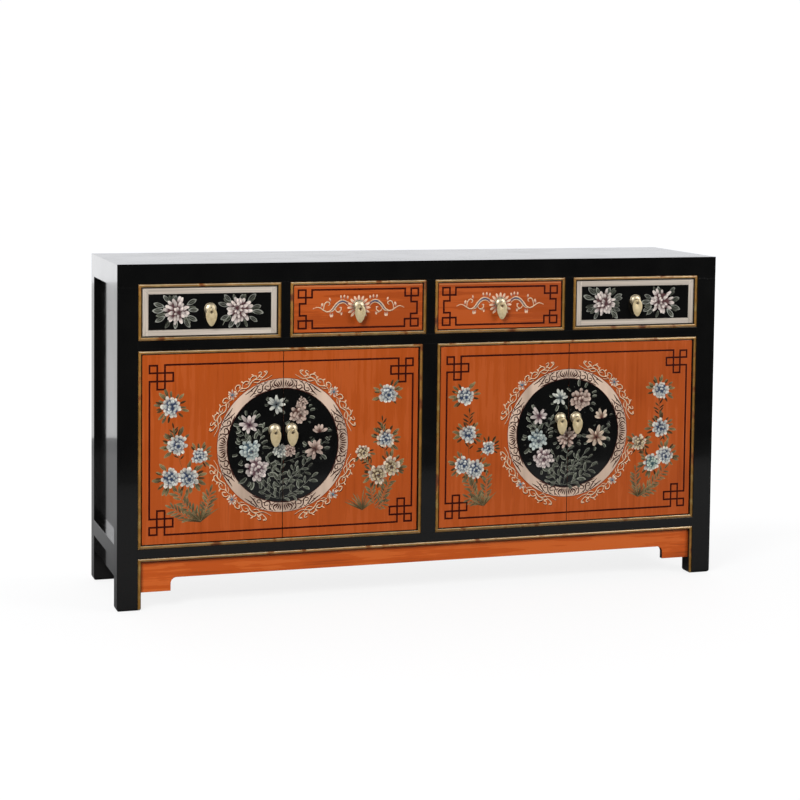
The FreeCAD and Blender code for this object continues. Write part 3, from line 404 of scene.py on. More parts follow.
@dataclass(frozen=True)
class StageFloor(Finish):
    """Matt white acrylic lit from below, as a studio floor for cut-out photographs."""

    shade_white: str = "#F4F4F4"
    shade_unlit: str = "#5E5E5E"
    glow: float = 0.92
    glow_behind: float = 0.16

    def shade(self, add: Add) -> Node:
        """Builds the nodes and gives the shader."""
        seen = add("LightPath").outputs["Is Camera Ray"]
        depth = add("SeparateXYZ", add("TexCoord").outputs["Object"]).outputs[1]
        behind = add("MapRange", depth, 0.2, 1.0, 0.0, self.glow_behind)
        lit = add("Math", seen, self.glow, behind, operation="MULTIPLY_ADD")
        glow = {"Emission Color": linear(self.shade_white), "Emission Strength": lit}
        return add("BsdfPrincipled", named={"Base Color": linear(self.shade_unlit), "Roughness": 0.9, **glow})


class Palette(Enum):
    """The finishes in use."""

    BLACK = BlackLacquer("rubbed_black_lacquer")
    GILT = BlackLacquerGiltBead("black_lacquer_with_gilt_bead")
    ORANGE = OrangeLacquer("brushed_orange_lacquer")
    ORANGE_LONG = OrangeLacquer("orange_lacquer_brushed_lengthwise", shade_main="#AE4C18", upright=False)
    ORANGE_APRON = OrangeLacquer("orange_lacquer_on_apron", "#CC5918", "#A84612", "#DA6826", upright=False)
    ELM = PlanedElm("planed_elm")
    BRASS = AgedBrass("turned_brass", "#EBDCBC", "#CDBB98", 0.46, 0.8, 0.75, "#544636", shade_from_facing=0.93, shade_full_facing=0.5)
    SHEET_BRASS = AgedBrass("sheet_brass", "#F2DDB0", "#DCC492", 0.42, 0.5, 0.85)
    COLOUR = BrushedColour("brushed_mineral_colour")
    PAPER = StageFloor("lit_white_acrylic")


# Modelling


def select(*pieces: Piece) -> None:
    """Leaves edit mode with only these pieces selected and the first of them active."""
    if bpy.context.object and bpy.context.object.mode != "OBJECT":
        bpy.ops.object.mode_set(mode="OBJECT")
    bpy.ops.object.select_all(action="DESELECT")
    for piece in pieces:
        piece.select_set(True)
    if pieces:
        bpy.context.view_layer.objects.active = pieces[0]


def enter(piece: Piece) -> Piece:
    """Puts a piece, camera or lamp in the scene and gives it."""
    bpy.context.scene.collection.objects.link(piece)
    return piece


def take_all() -> None:
    """Selects all of the piece being edited."""
    bpy.ops.mesh.select_all(action="SELECT")


def edit_all() -> Piece:
    """Starts to edit the active piece with all of it selected, and gives the piece."""
    bpy.ops.object.mode_set(mode="EDIT")
    take_all()
    return bpy.context.object


def end_edit() -> Piece:
    """Ends the editing and gives the piece."""
    bpy.ops.object.mode_set(mode="OBJECT")
    return bpy.context.object


def choose(piece: Piece, test: Callable[[Vector], bool]) -> None:
    """Selects, in edit mode, the vertices whose place passes the test, with the edges and faces between them."""
    bpy.ops.mesh.select_all(action="DESELECT")
    mesh = bmesh.from_edit_mesh(piece.data)
    for vertex in mesh.verts:
        vertex.select_set(test(vertex.co))
    mesh.select_flush_mode()
    bmesh.update_edit_mesh(piece.data)


def shift(*way: float) -> None:
    """Moves what is selected."""
    bpy.ops.transform.translate(value=way)


def stretch(across: float, up: float = 1.0, centre: Point3 = (0, 0, 0)) -> None:
    """Stretches what is selected along X, and along Z if that is given."""
    bpy.ops.transform.resize(value=(across, 1, up), center_override=centre)


def settle(piece: Piece) -> Piece:
    """Puts a piece's place into its mesh, with its object at the origin, and gives the piece."""
    select(piece)
    bpy.ops.object.transform_apply(location=True, rotation=True, scale=True)
    return piece


def ease(piece: Piece, width: float, sheet: float = 0.0) -> Piece:
    """Rounds a piece's edges, after giving it thickness if it is cut from sheet, and gives the piece.

    Args:
        piece: The piece.
        width: The width of the rounding in millimetres.
        sheet: The thickness of the sheet in millimetres.

    Returns:
        The piece.
    """
    if sheet:
        wall = piece.modifiers.new("sheet", "SOLIDIFY")
        wall.thickness, wall.offset = sheet * MM, -1
    eased = piece.modifiers.new("eased", "BEVEL")
    eased.width, eased.segments = width * MM, 2
    select(piece)
    for modifier in list(piece.modifiers):
        bpy.ops.object.modifier_apply(modifier=modifier.name)
    return piece


def join(pieces: Sequence[Piece], name: str) -> Piece:
    """Joins pieces, which are used up, into one of the given name."""
    select(*pieces)
    if len(pieces) > 1:
        bpy.ops.object.join()
    pieces[0].name = pieces[0].data.name = name
    return pieces[0]


@dataclass(frozen=True)
class Ink:
    """The colours of one kind of stroke: at its root, at its tip and round its rim.

    The edge says how wide the rim is, where one under a third doesn't show, and the rib how strong the midrib is.
    """

    root: str
    tip: str
    rim: str
    edge: float = 0.8
    rib: float = 0.0

    def varied(self, dice: random.Random, spread: float = 0.12) -> "Ink":
        """The same ink, a little lighter or darker as a brush loads unevenly."""
        factor = 1 + dice.uniform(-spread, spread)

        def change(shade: str) -> str:
            """One colour, made lighter or darker."""
            parts = [min(255, round(int(shade[place : place + 2], 16) * factor)) for place in (1, 3, 5)]
            return "#" + "".join(f"{part:02X}" for part in parts)

        return Ink(change(self.root), change(self.tip), change(self.rim), self.edge, self.rib)


def plain(shade: str) -> Ink:
    """One colour all over, with no rim."""
    return Ink(shade, shade, shade, 0.0)


def tint(mesh: bpy.types.Mesh, ink: Ink, hand: float, rims: Sequence[float] | None = None) -> None:
    """Writes a stroke's colours on its mesh.

    Args:
        mesh: The stroke.
        ink: Its colours.
        hand: Any number from nought to one, which sets where the brush's hairs fall.
        rims: For each vertex one on the outline and nought inside; left out, there is no rim.
    """
    count = len(mesh.vertices)
    for name, shade, more in (("Root", ink.root, hand), ("Tip", ink.tip, ink.rib)):
        layer = mesh.attributes.new(name, "FLOAT_COLOR", "POINT")
        layer.data.foreach_set("color", [*linear(shade)[:3], more] * count)
    layer = mesh.attributes.new("Rim", "FLOAT_COLOR", "POINT")
    edge = linear(ink.rim)[:3]
    layer.data.foreach_set("color", [part for share in rims or [0.0] * count for part in (*edge, share * ink.edge)])


# The painter's strokes


class Stroke(Enum):
    """The stroke shapes that all the painting repeats."""

    PETAL = "petal"
    LEAF = "leaf"
    DAB = "dab"
    DISC = "disc"
    BAR = "bar"
    BLADE = "blade"


# How low a stencil's skirt starts, how high in millimetres one unit of its relief becomes, and how far up a petal its
# rim shows, so that its tip stays pale.
SKIRT = -3.0
RELIEF = 0.05
PETAL_RIM_END = 0.8


def stroke_map(piece: Piece) -> bpy.types.MeshUVLoopLayer:
    """Gives a stroke one empty map for the places on it, in place of what its primitive had."""
    layers = piece.data.uv_layers
    for layer in list(layers):
        layers.remove(layer)
    return layers.new(name="Stroke")


@dataclass
class Stencils:
    """Models each stroke once, one unit long and wide, with its root at the origin and its tip up along Y.

    Its skirt starts at the lowest level, its rim lies one unit down and its middle one unit up, so that it is a low
    mound of colour. Each method carries the name of its stroke.
    """

    sides: int = 12
    dab_sides: int = 8
    disc_sides: int = 144
    blade_cuts: int = 7
    shapes: dict[Stroke, Piece] = field(default_factory=dict)

    def start(self, primitive: Callable[..., object], middle: float = 0.5, **shape: object) -> Piece:
        """Starts a stroke from a flat primitive.

        Args:
            primitive: The operator that adds it.
            middle: How far the stroke's middle is from its root.
            shape: The operator's settings.

        Returns:
            The stroke, in edit mode with all of it selected.
        """
        select()
        primitive(**shape)
        piece = edit_all()
        shift(0, middle, 0)
        return piece

    def outline(self, sides: int, middle: float = 0.5) -> Piece:
        """Starts a round stroke with a number of sides, whose middle is a distance from its root."""
        return self.start(bpy.ops.mesh.primitive_circle_add, middle, vertices=sides, radius=0.5, fill_type="NGON")

    def mound(self, rim: float) -> Piece:
        """Turns the flat outline being edited into a mound with a skirt and a rim of a width, and ends its editing."""
        take_all()
        shift(0, 0, SKIRT)
        bpy.ops.mesh.extrude_region_move(TRANSFORM_OT_translate={"value": (0, 0, -SKIRT - 1)})
        bpy.ops.mesh.inset(thickness=rim, depth=0)
        shift(0, 0, 2)
        return end_edit()

    def petal(self) -> Piece:
        """A petal, broad near its tip and narrow at its root."""
        piece = self.outline(self.sides)
        for level, share in ((0.4, 0.76), (0.2, 0.7)):
            choose(piece, lambda spot: spot.y < level)
            stretch(share)
        return self.mound(rim=0.16)

    def leaf(self) -> Piece:
        """A leaf, drawn in towards both ends and broadest past its middle."""
        piece = self.outline(self.sides)
        for low, high, share in ((0.0, 0.45, 0.86), (0.0, 0.2, 0.66), (0.88, 1.0, 0.74)):
            choose(piece, lambda spot: low - 0.01 < spot.y < high + 0.01)
            stretch(share, centre=(0, 0.5, 0))
        return self.mound(rim=0.22)

    def dab(self) -> Piece:
        """A round touch of the brush."""
        self.outline(self.dab_sides)
        return self.mound(rim=0.12)

    def disc(self) -> Piece:
        """A ground that is filled in with a broad brush, about its own middle."""
        self.outline(self.disc_sides, 0)
        return self.mound(rim=0.002)

    def bar(self) -> Piece:
        """A ruled line."""
        self.start(bpy.ops.mesh.primitive_plane_add, size=1)
        return self.mound(rim=0.004)

    def blade(self) -> Piece:
        """A blade of grass, thin and drawn out to a point, cut across so that it can be bent."""
        cuts = self.blade_cuts
        piece = self.start(bpy.ops.mesh.primitive_grid_add, x_subdivisions=2, y_subdivisions=cuts, size=1)
        for step in range(cuts + 1):
            level = step / cuts
            choose(piece, lambda spot: abs(spot.y - level) < 0.01)
            stretch(max(0.05, math.sin(math.pi * (0.1 + 0.9 * level)) ** 0.8))
        choose(piece, lambda spot: abs(spot.x) < 0.001)
        shift(0, 0, 2)
        take_all()
        shift(0, 0, -1)
        end_edit()
        return piece

    def build(self) -> None:
        """Models them all and notes each point's place on its stroke."""
        for stroke in Stroke:
            piece = self.shapes[stroke] = getattr(self, stroke.value)()
            spots = stroke_map(piece)
            for loop in piece.data.loops:
                spot = piece.data.vertices[loop.vertex_index].co
                spots.data[loop.index].uv = (spot.x + 0.5, spot.y)
            piece.name = f"stencil_{stroke.value}"

    def clear(self) -> None:
        """Takes the stencils away when the painting is done."""
        for piece in self.shapes.values():
            bpy.data.objects.remove(piece)
        self.shapes.clear()


STENCILS = Stencils()


@dataclass
class Painting:
    """Strokes laid on one face of the sideboard and joined into one thin skin of colour. Sizes are in millimetres."""

    name: str
    face: float
    seed: int
    meeting_gap: float = 0.85
    strokes: list[Piece] = field(default_factory=list)
    dice: random.Random = field(init=False)

    def __post_init__(self) -> None:
        """Seeds the painter's hand."""
        self.dice = random.Random(self.seed)

    def lay(
        self, stroke: Stroke, spot: Point, size: Point, turn: float, ink: Ink, lift: float = 0.0, tilt: float = 0.0,
        bow: float = 0.0,
    ) -> None:
        """Lays one stroke.

        Args:
            stroke: Its shape.
            spot: Where its root is, across and up.
            size: Its width and length.
            turn: Its direction in degrees, from upright to the left.
            ink: Its colours.
            lift: How far its ground stands off the face.
            tilt: How far it leans on its neighbour, in degrees.
            bow: How far its tip swings aside, as a share of its length.
        """
        source = STENCILS.shapes[stroke]
        copy = source.copy()
        mesh = copy.data = source.data.copy()
        rim_end = PETAL_RIM_END if stroke is Stroke.PETAL else math.inf
        rims = [1.0 if vertex.co.z < 0 and vertex.co.y < rim_end else 0.0 for vertex in mesh.vertices]
        skirt = [vertex.index for vertex in mesh.vertices if vertex.co.z < (SKIRT - 1) / 2]
        if bow:
            for vertex in mesh.vertices:
                vertex.co.x += bow * size[1] / size[0] * vertex.co.y**2
        place = (
            Matrix.Translation((spot[0] * MM, self.face - lift * MM, spot[1] * MM))
            @ Matrix.Rotation(math.pi / 2, 4, "X")
            @ Matrix.Rotation(math.radians(turn), 4, "Z")
            @ Matrix.Rotation(math.radians(tilt), 4, "Y")
            @ Matrix.Diagonal((size[0] * MM, size[1] * MM, RELIEF * MM, 1))
        )
        mesh.transform(place)
        for index in skirt:
            mesh.vertices[index].co.y = self.face + RELIEF * MM
        tint(mesh, ink, self.dice.random(), rims)
        self.add(copy)

    def add(self, piece: Piece) -> None:
        """Adds a finished part of the painting, in mineral colour."""
        if not piece.users_collection:
            enter(piece)
        Palette.COLOUR.value.dress(piece)
        self.strokes.append(piece)

    def disc(self, centre: Point, radius: float, ink: Ink, lift: float, finish: Palette = Palette.COLOUR) -> None:
        """Fills a circle.

        Args:
            centre: Its middle.
            radius: Its radius.
            ink: Its colour.
            lift: How far it stands off the face.
            finish: What it is filled with.
        """
        self.lay(Stroke.DISC, centre, (2 * radius, 2 * radius), 0, ink, lift)
        finish.value.dress(self.strokes[-1])

    def lines(self, runs: Iterable[Sequence[Point]], width: float, ink: Ink, lift: float) -> None:
        """Draws smooth lines with a fine brush, which thin at both ends.

        Args:
            runs: The points that each line follows.
            width: The breadth of the line at its fullest.
            ink: Its colours.
            lift: How far its ground stands off the face.
        """
        curve = bpy.data.curves.new(self.name, "CURVE")
        curve.dimensions, curve.use_fill_caps = "3D", True
        curve.bevel_depth, curve.bevel_resolution, curve.resolution_u = MM, 0, 3
        for run in runs:
            spline = curve.splines.new("NURBS")
            spline.points.add(len(run) - 1)
            for number, (across, up) in enumerate(run):
                share = number / (len(run) - 1)
                breadth = math.sin(math.pi * (0.12 + 0.76 * share))
                spline.points[number].co = (across * MM, self.face, up * MM, 1)
                spline.points[number].radius = width / 2 * breadth
            spline.order_u = 3
            spline.use_endpoint_u = True
        select(enter(bpy.data.objects.new(self.name, curve)))
        bpy.ops.object.convert(target="MESH")
        piece = bpy.context.object
        flat = 2 * RELIEF / width
        for vertex in piece.data.vertices:
            vertex.co.y = self.face + (vertex.co.y - self.face) * flat - lift * MM
        stroke_map(piece)
        tint(piece.data, ink, self.dice.random())
        self.add(piece)

    def ruled(self, corners: Sequence[Point], width: float, ink: Ink, lift: float = 0.0) -> None:
        """Rules straight lines from corner to corner, upright and level ones only."""
        for (left, low), (right, high) in zip(corners, corners[1:]):
            upright = abs(left - right) < abs(low - high)
            if upright:
                length = abs(high - low) + width
                spot, turn = (left, min(low, high) - width / 2), 0.0
            else:
                length = abs(right - left) + width
                spot, turn = (min(left, right) - width / 2, low), -90.0
            self.lay(Stroke.BAR, spot, (width, length), turn, ink, lift + (0.03 if upright else 0.0))

    def hang(self, piece: Piece, name: str, body: str) -> None:
        """Names a finished part of the painting and puts it on a body."""
        piece.name = piece.data.name = name
        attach(piece, body)
        log.info("%s: %d faces", name, len(piece.data.polygons))

    def finish(self, body: str) -> None:
        """Joins the strokes and puts them on a body."""
        self.hang(join(self.strokes, self.name), self.name, body)

    def split(self, middle: float, left: tuple[str, str], right: tuple[str, str]) -> None:
        """Joins the strokes and cuts them in two, one part for each of two bodies.

        Args:
            middle: Where the cut is.
            left: The name and the body of the left part.
            right: The same for the right part.
        """
        whole = join(self.strokes, left[0])
        select(whole)
        bpy.ops.object.duplicate()
        for piece, (name, body), sense in ((whole, left, 1), (bpy.context.object, right, -1)):
            select(piece)
            edit_all()
            cut = middle * MM - sense * self.meeting_gap * MM
            bpy.ops.mesh.bisect(plane_co=(cut, 0, 0), plane_no=(sense, 0, 0), clear_outer=True)
            end_edit()
            self.hang(piece, name, body)


# Flowers, leaves and scrolls


UNDER_LACQUER = Ink("#000000", "#000000", "#000000")
PETAL_ON_BLACK = Ink("#63474C", "#D8CBC4", "#58404A", 0.6)
PETAL_IN_DRAWER = Ink("#57393A", "#DDD1C9", "#4A3034", 0.62)
PETAL_PINK = Ink("#5C4038", "#C6B0A2", "#4C3028", 0.6)
PETAL_GREEN_WHITE = Ink("#4C5E68", "#C3CBC4", "#3C4E56", 0.6)
PETAL_WHITE = Ink("#5E686A", "#D2D2C6", "#464E50", 0.6)
PETAL_CREAM = Ink("#6E4A3E", "#D2BFA9", "#5C3A2E", 0.6)
PETAL_ON_ORANGE = Ink("#6C6E7A", "#DFD8CA", "#6E6A6C", 0.6)
PETAL_BLUE = Ink("#3A4660", "#CACCC6", "#2C3650", 0.66)
PETAL_WARM = Ink("#7E6864", "#E0CEB6", "#705848", 0.6)
PETAL_SAND = Ink("#644A34", "#D2C09C", "#46301F", 0.7)
PETAL_TEAL = Ink("#3A5A60", "#BECBBA", "#20383C", 0.72)
LEAF_ON_BLACK = Ink("#31342C", "#4A4D43", "#8E9082", 0.82, 0.5)
LEAF_IN_DRAWER = Ink("#23251F", "#383A31", "#92938A", 0.8, 0.45)
LEAF_DIM = Ink("#272922", "#3A3C34", "#6C6E62", 0.78, 0.5)
LEAF_ON_ORANGE = Ink("#4C3E28", "#766A4A", "#948662", 0.6, 0.5)
LEAF_DARK = Ink("#2C1A12", "#4E3A24", "#705A38", 0.5, 0.4)
EYE_DARK = Ink("#35191F", "#563840", "#3A2228", 0.3)
EYE_BLUE = Ink("#202A42", "#3E4E6C", "#26304A", 0.3)
STEM = plain("#8E9080")
CREAM = plain("#DABFAA")
CREAM_ON_ORANGE = plain("#F0CDAA")
OXBLOOD = plain("#340604")
RING_DARK = plain("#421E17")
RING_RED = plain("#74210E")
BLUE_GREY = Ink("#3E5C68", "#7C929C", "#A8B0B0", 0.5)
BORDER = Ink("#C9BCAE", "#D1C5B8", "#B4AA9D", 0.3)
BORDER_LINE = plain("#8E857B")
BLUE_ON_ORANGE = plain("#5E6080")
BUD = Ink("#A8847C", "#F6D2B2", "#F0CDB0", 0.4)
# A pale colour painted along the orange drawers' upper arris as a highlight.
TOP_EDGE_HIGHLIGHT = plain("#CC7C4C")
CREAM_PETAL = Ink("#7D8890", "#E2CFB6", "#EEDCC4", 0.5)
GRASS = Ink("#54462C", "#8A7A54", "#4C4230", 0.5)


def heading(turn: float) -> Point:
    """The direction that lies a number of degrees from upright to the left."""
    return (-math.sin(math.radians(turn)), math.cos(math.radians(turn)))


def away(spot: Point, turn: float, distance: float) -> Point:
    """The point that lies a distance from another in a direction."""
    across, up = heading(turn)
    return (spot[0] + across * distance, spot[1] + up * distance)


class Bloom(Enum):
    """The kinds of flower, each with the name of the method that paints it."""

    PEONY = "peony"
    ASTER = "aster"
    LILY = "lily"
    DAISY = "daisy"


@dataclass(frozen=True)
class Flower:
    """One flower of a design.

    Its leaves stand out from under it, each in a direction from upright to the left. Its inner petals may have an ink
    of their own.
    """

    kind: Bloom
    spot: Point
    reach: float
    ink: Ink
    turn: float = 0.0
    leaves: tuple[float, ...] = ()
    leaf_ink: Ink | None = None
    leaf_long: float = 0.8
    petals: int = 7
    inner: Ink | None = None


def on_orange(
    spot: Point, reach: float, ink: Ink, inner: Ink, *leaves: float, leaf_ink: Ink | None = None
) -> Flower:
    """A peony on the orange ground, with leaves of its colour."""
    return Flower(Bloom.PEONY, spot, reach, ink, leaves=leaves, leaf_ink=leaf_ink or LEAF_ON_ORANGE, inner=inner)


@dataclass(frozen=True)
class Sprig:
    """A stem of a design, with leaves set along both sides."""

    root: Point
    tip: Point
    leaves: int
    length: float
    bow: float = 0.1
    ink: Ink = LEAF_ON_BLACK
    wide: float = 0.48


def frond(root: Point, tip: Point, leaves: int, length: float, bow: float, ink: Ink = LEAF_ON_ORANGE) -> Sprig:
    """A stem on the orange ground, with narrow leaves."""
    return Sprig(root, tip, leaves, length, bow, ink, wide=0.26)


@dataclass
class Florist(Painting):
    """A painting of flowers, with the hand that draws them.

    The leaves round a flower stay between two heights. Their width is a share of their length, and a smaller one on
    the orange ground. Turns are in degrees.
    """

    room: Point = (0.0, 800.0)
    leaf_wide: float = 0.6
    leaf_narrow: float = 0.34
    leaf_sway: float = 14.0
    leaf_behind: float = 19.0
    petal_sway: float = 24.0
    open_from: int = 7
    open_spread: float = 300.0
    side_spread: float = 130.0
    stem_width: float = 1.5
    stem_part: Point = (0.18, 0.78)
    stem_leaf_turn: Point = (34.0, 60.0)
    blade_bow: float = 0.16

    def ring(
        self, middle: Point, count: int, root: float, size: Point, ink: Ink, lift: float, ragged: float = 0.1
    ) -> None:
        """A ring of petals.

        Args:
            middle: Its middle.
            count: How many petals it has.
            root: How far their roots are from the middle.
            size: Their width and length.
            ink: Their colours.
            lift: How far they stand off the face.
            ragged: How uneven they are, as a share.
        """
        start = self.dice.uniform(0, 360)
        for petal in range(count):
            turn = start + 360 * petal / count + self.dice.uniform(-90, 90) / count
            long = size[1] * (1 + self.dice.uniform(-2 * ragged, 2 * ragged))
            spot = away(middle, turn, root * (1 + self.dice.uniform(-2 * ragged, ragged)))
            wide = size[0] * (1 + self.dice.uniform(-2 * ragged, 2 * ragged))
            lean = turn + self.dice.uniform(-self.petal_sway, self.petal_sway)
            self.lay(Stroke.PETAL, spot, (wide, long), lean, ink.varied(self.dice), lift, tilt=1.0)

    def stamens(self, middle: Point, spread: float, count: int, ink: Ink, lift: float) -> None:
        """Small touches at the heart of a flower."""
        for touch in range(count):
            turn = 360 * touch / count + self.dice.uniform(-25, 25)
            spot = away(middle, turn, spread * self.dice.uniform(0.2, 1))
            self.lay(Stroke.DAB, spot, (spread * 0.5, spread * 0.6), turn, ink.varied(self.dice), lift)

    def tiers(
        self, flower: Flower, rows: Iterable[tuple[int, float, float, float]], lean: Point, drift: float, rise: float,
        lift: float = 0.22,
    ) -> None:
        """Rings of petals that overlap, over the dark ground that shows between them.

        Args:
            flower: The flower.
            rows: For each ring, how many petals it has, how far out their roots are, and their width and length, all
                three as shares of the flower's reach.
            lean: The way in which each ring is set aside from the one under it.
            drift: How far it is, as a share of the reach.
            rise: How far it stands off the one under it.
            lift: How far the lowest ring stands off the face.
        """
        (x, z), reach = flower.spot, flower.reach
        wide = 1.44 * reach
        ground = plain((flower.inner or flower.ink).root)
        self.lay(Stroke.DAB, away(flower.spot, 180, wide / 2), (wide, wide), 0, ground, lift - 0.03)
        for number, (count, root, wide, long) in enumerate(rows):
            aside = drift * number * reach
            middle = (x + lean[0] * aside, z + lean[1] * aside)
            ink = flower.inner if number and flower.inner else flower.ink
            self.ring(middle, count, root * reach, (wide * reach, long * reach), ink, lift + rise * number)

    def peony(self, flower: Flower) -> None:
        """A full flower of small petals in overlapping rings."""
        (x, z), reach = flower.spot, flower.reach
        rows = ((12, 0.50, 0.44, 0.50), (9, 0.26, 0.42, 0.46), (6, 0.04, 0.36, 0.36))
        self.tiers(flower, rows, (0.8, -1.0), 0.07, 0.08)
        heart = EYE_BLUE if flower.inner else EYE_DARK
        self.stamens((x + 0.12 * reach, z - 0.16 * reach), 0.16 * reach, 7, heart, 0.56)

    def aster(self, flower: Flower) -> None:
        """A flower of long petals, whose heart is towards one side so that the far petals are longer."""
        (x, z), reach, lean = flower.spot, flower.reach, heading(flower.turn)
        rows = ((14, 0.46, 0.30, 0.58), (11, 0.24, 0.28, 0.52), (7, 0.04, 0.23, 0.40))
        self.tiers(flower, rows, lean, 0.12, 0.09)
        heart = (x + lean[0] * 0.3 * reach, z + lean[1] * 0.3 * reach)
        self.stamens(heart, 0.14 * reach, 8, EYE_DARK, 0.6)

    def lily(self, flower: Flower, lift: float = 0.24) -> None:
        """A fan of long petals from one root, nearly all the way round where the petals are many."""
        spread = self.open_spread if flower.petals >= self.open_from else self.side_spread
        for tier, (share_long, count) in enumerate(((1.0, flower.petals), (0.62, flower.petals - 3))):
            for petal in range(count):
                share = petal / (count - 1) - 0.5
                turn = flower.turn + share * spread + self.dice.uniform(-11, 11)
                long = flower.reach * share_long * (1 - 0.4 * abs(share)) * self.dice.uniform(0.8, 1.12)
                spot, wide = away(flower.spot, turn, flower.reach * 0.06), 0.4 * flower.reach * share_long
                turn += self.dice.uniform(-8, 8)
                level = lift + 0.05 * (petal % 2) + 0.08 * tier
                self.lay(Stroke.PETAL, spot, (wide, long), turn, flower.ink.varied(self.dice), level, tilt=1.0)
        self.stamens(away(flower.spot, flower.turn, flower.reach * 0.08), 0.1 * flower.reach, 5, EYE_DARK, lift + 0.14)

    def daisy(self, flower: Flower, lift: float = 0.16) -> None:
        """A small flower with one ring of narrow petals."""
        reach = flower.reach
        self.ring(flower.spot, flower.petals + 2, 0.28 * reach, (0.3 * reach, 0.74 * reach), flower.ink, lift)
        self.lay(Stroke.DAB, away(flower.spot, 180, 0.3 * reach), (0.6 * reach, 0.6 * reach), 0, BLUE_GREY, lift + 0.1)
        self.stamens(flower.spot, 0.22 * reach, 5, EYE_BLUE, lift + 0.16)

    def leaf(self, root: Point, turn: float, length: float, ink: Ink, wide: float, lift: float) -> None:
        """One leaf, whose width is a share of its length."""
        self.lay(Stroke.LEAF, root, (length * wide, length), turn, ink.varied(self.dice, 0.18), lift, tilt=1.0)

    def plant(self, flower: Flower) -> None:
        """Paints a flower over its leaves."""
        ink = flower.leaf_ink or LEAF_ON_BLACK
        orange = ink in (LEAF_ON_ORANGE, LEAF_DARK)
        wide, under = (self.leaf_narrow, LEAF_DARK) if orange else (self.leaf_wide, LEAF_DIM)
        start = flower.reach * (0.9 if flower.kind is not Bloom.LILY else 0.62)
        for number, turn in enumerate(flower.leaves):
            lean = turn + self.dice.uniform(-self.leaf_sway, self.leaf_sway)
            long = flower.reach * flower.leaf_long * self.dice.uniform(0.85, 1.2)
            behind = turn + self.dice.choice((-self.leaf_behind, self.leaf_behind))
            top = (lean, start, long, ink, 0.10 + 0.015 * (number % 3))
            clump = [(behind, start * 0.9, long * 0.84, under, 0.07), top]
            if orange:
                clump.insert(1, (2 * turn - behind, start * 0.86, long * 0.78, LEAF_ON_ORANGE, 0.085))
            for way, far, length, shade, lift in clump:
                rise = heading(way)[1]
                edge = (self.room[1] if rise > 0 else self.room[0]) - flower.spot[1]
                over = max(0.0, far + length - edge / rise) if abs(rise) > 0.1 else 0.0
                self.leaf(away(flower.spot, way, far - over), way, length, shade, wide, lift)
        getattr(self, flower.kind.value)(flower)

    def grow(self, sprig: Sprig, lift: float = 0.05) -> None:
        """Paints a stem with its leaves."""
        (left, low), (right, high) = sprig.root, sprig.tip
        middle = ((left + right) / 2 - (high - low) * sprig.bow, (low + high) / 2 + (right - left) * sprig.bow)
        self.lines([[sprig.root, middle, sprig.tip]], self.stem_width, plain(sprig.ink.rim), lift + 0.2)
        lean = math.degrees(math.atan2(left - right, high - low))
        for number in range(sprig.leaves):
            share = self.stem_part[0] + self.stem_part[1] * number / max(1, sprig.leaves - 1)
            before, between, after = (1 - share) ** 2, 2 * share * (1 - share), share**2
            x = before * left + between * middle[0] + after * right
            z = before * low + between * middle[1] + after * high
            side = (1 if number % 2 else -1) if number < sprig.leaves - 1 else 0
            turn = lean + side * self.dice.uniform(*self.stem_leaf_turn)
            long = sprig.length * self.dice.uniform(0.85, 1.18)
            self.leaf(away((x, z), turn, 1.2), turn, long, sprig.ink, sprig.wide, lift + 0.05 + 0.01 * (number % 4))

    def grass(self, root: Point, length: float, turns: Point, count: int, ink: Ink, lift: float = 0.1) -> None:
        """A fan of bent blades from one root.

        Args:
            root: Where they all start.
            length: The length of the longest.
            turns: The directions of the first and the last.
            count: How many there are.
            ink: Their colours.
            lift: How far they stand off the face.
        """
        middle = sum(turns) / 2
        for number in range(count):
            turn = turns[0] + (turns[1] - turns[0]) * number / (count - 1) + self.dice.uniform(-4, 4)
            long = length * self.dice.uniform(0.6, 1.05)
            spot, size = away(root, turn, self.dice.uniform(0, 5)), (max(2.8, long * 0.07), long)
            shade, level = ink.varied(self.dice, 0.2), lift + 0.012 * (number % 5)
            bow = math.copysign(self.blade_bow, middle - turn) * self.dice.uniform(0.2, 1.2)
            self.lay(Stroke.BLADE, spot, size, turn, shade, level, bow=bow)


# The studio


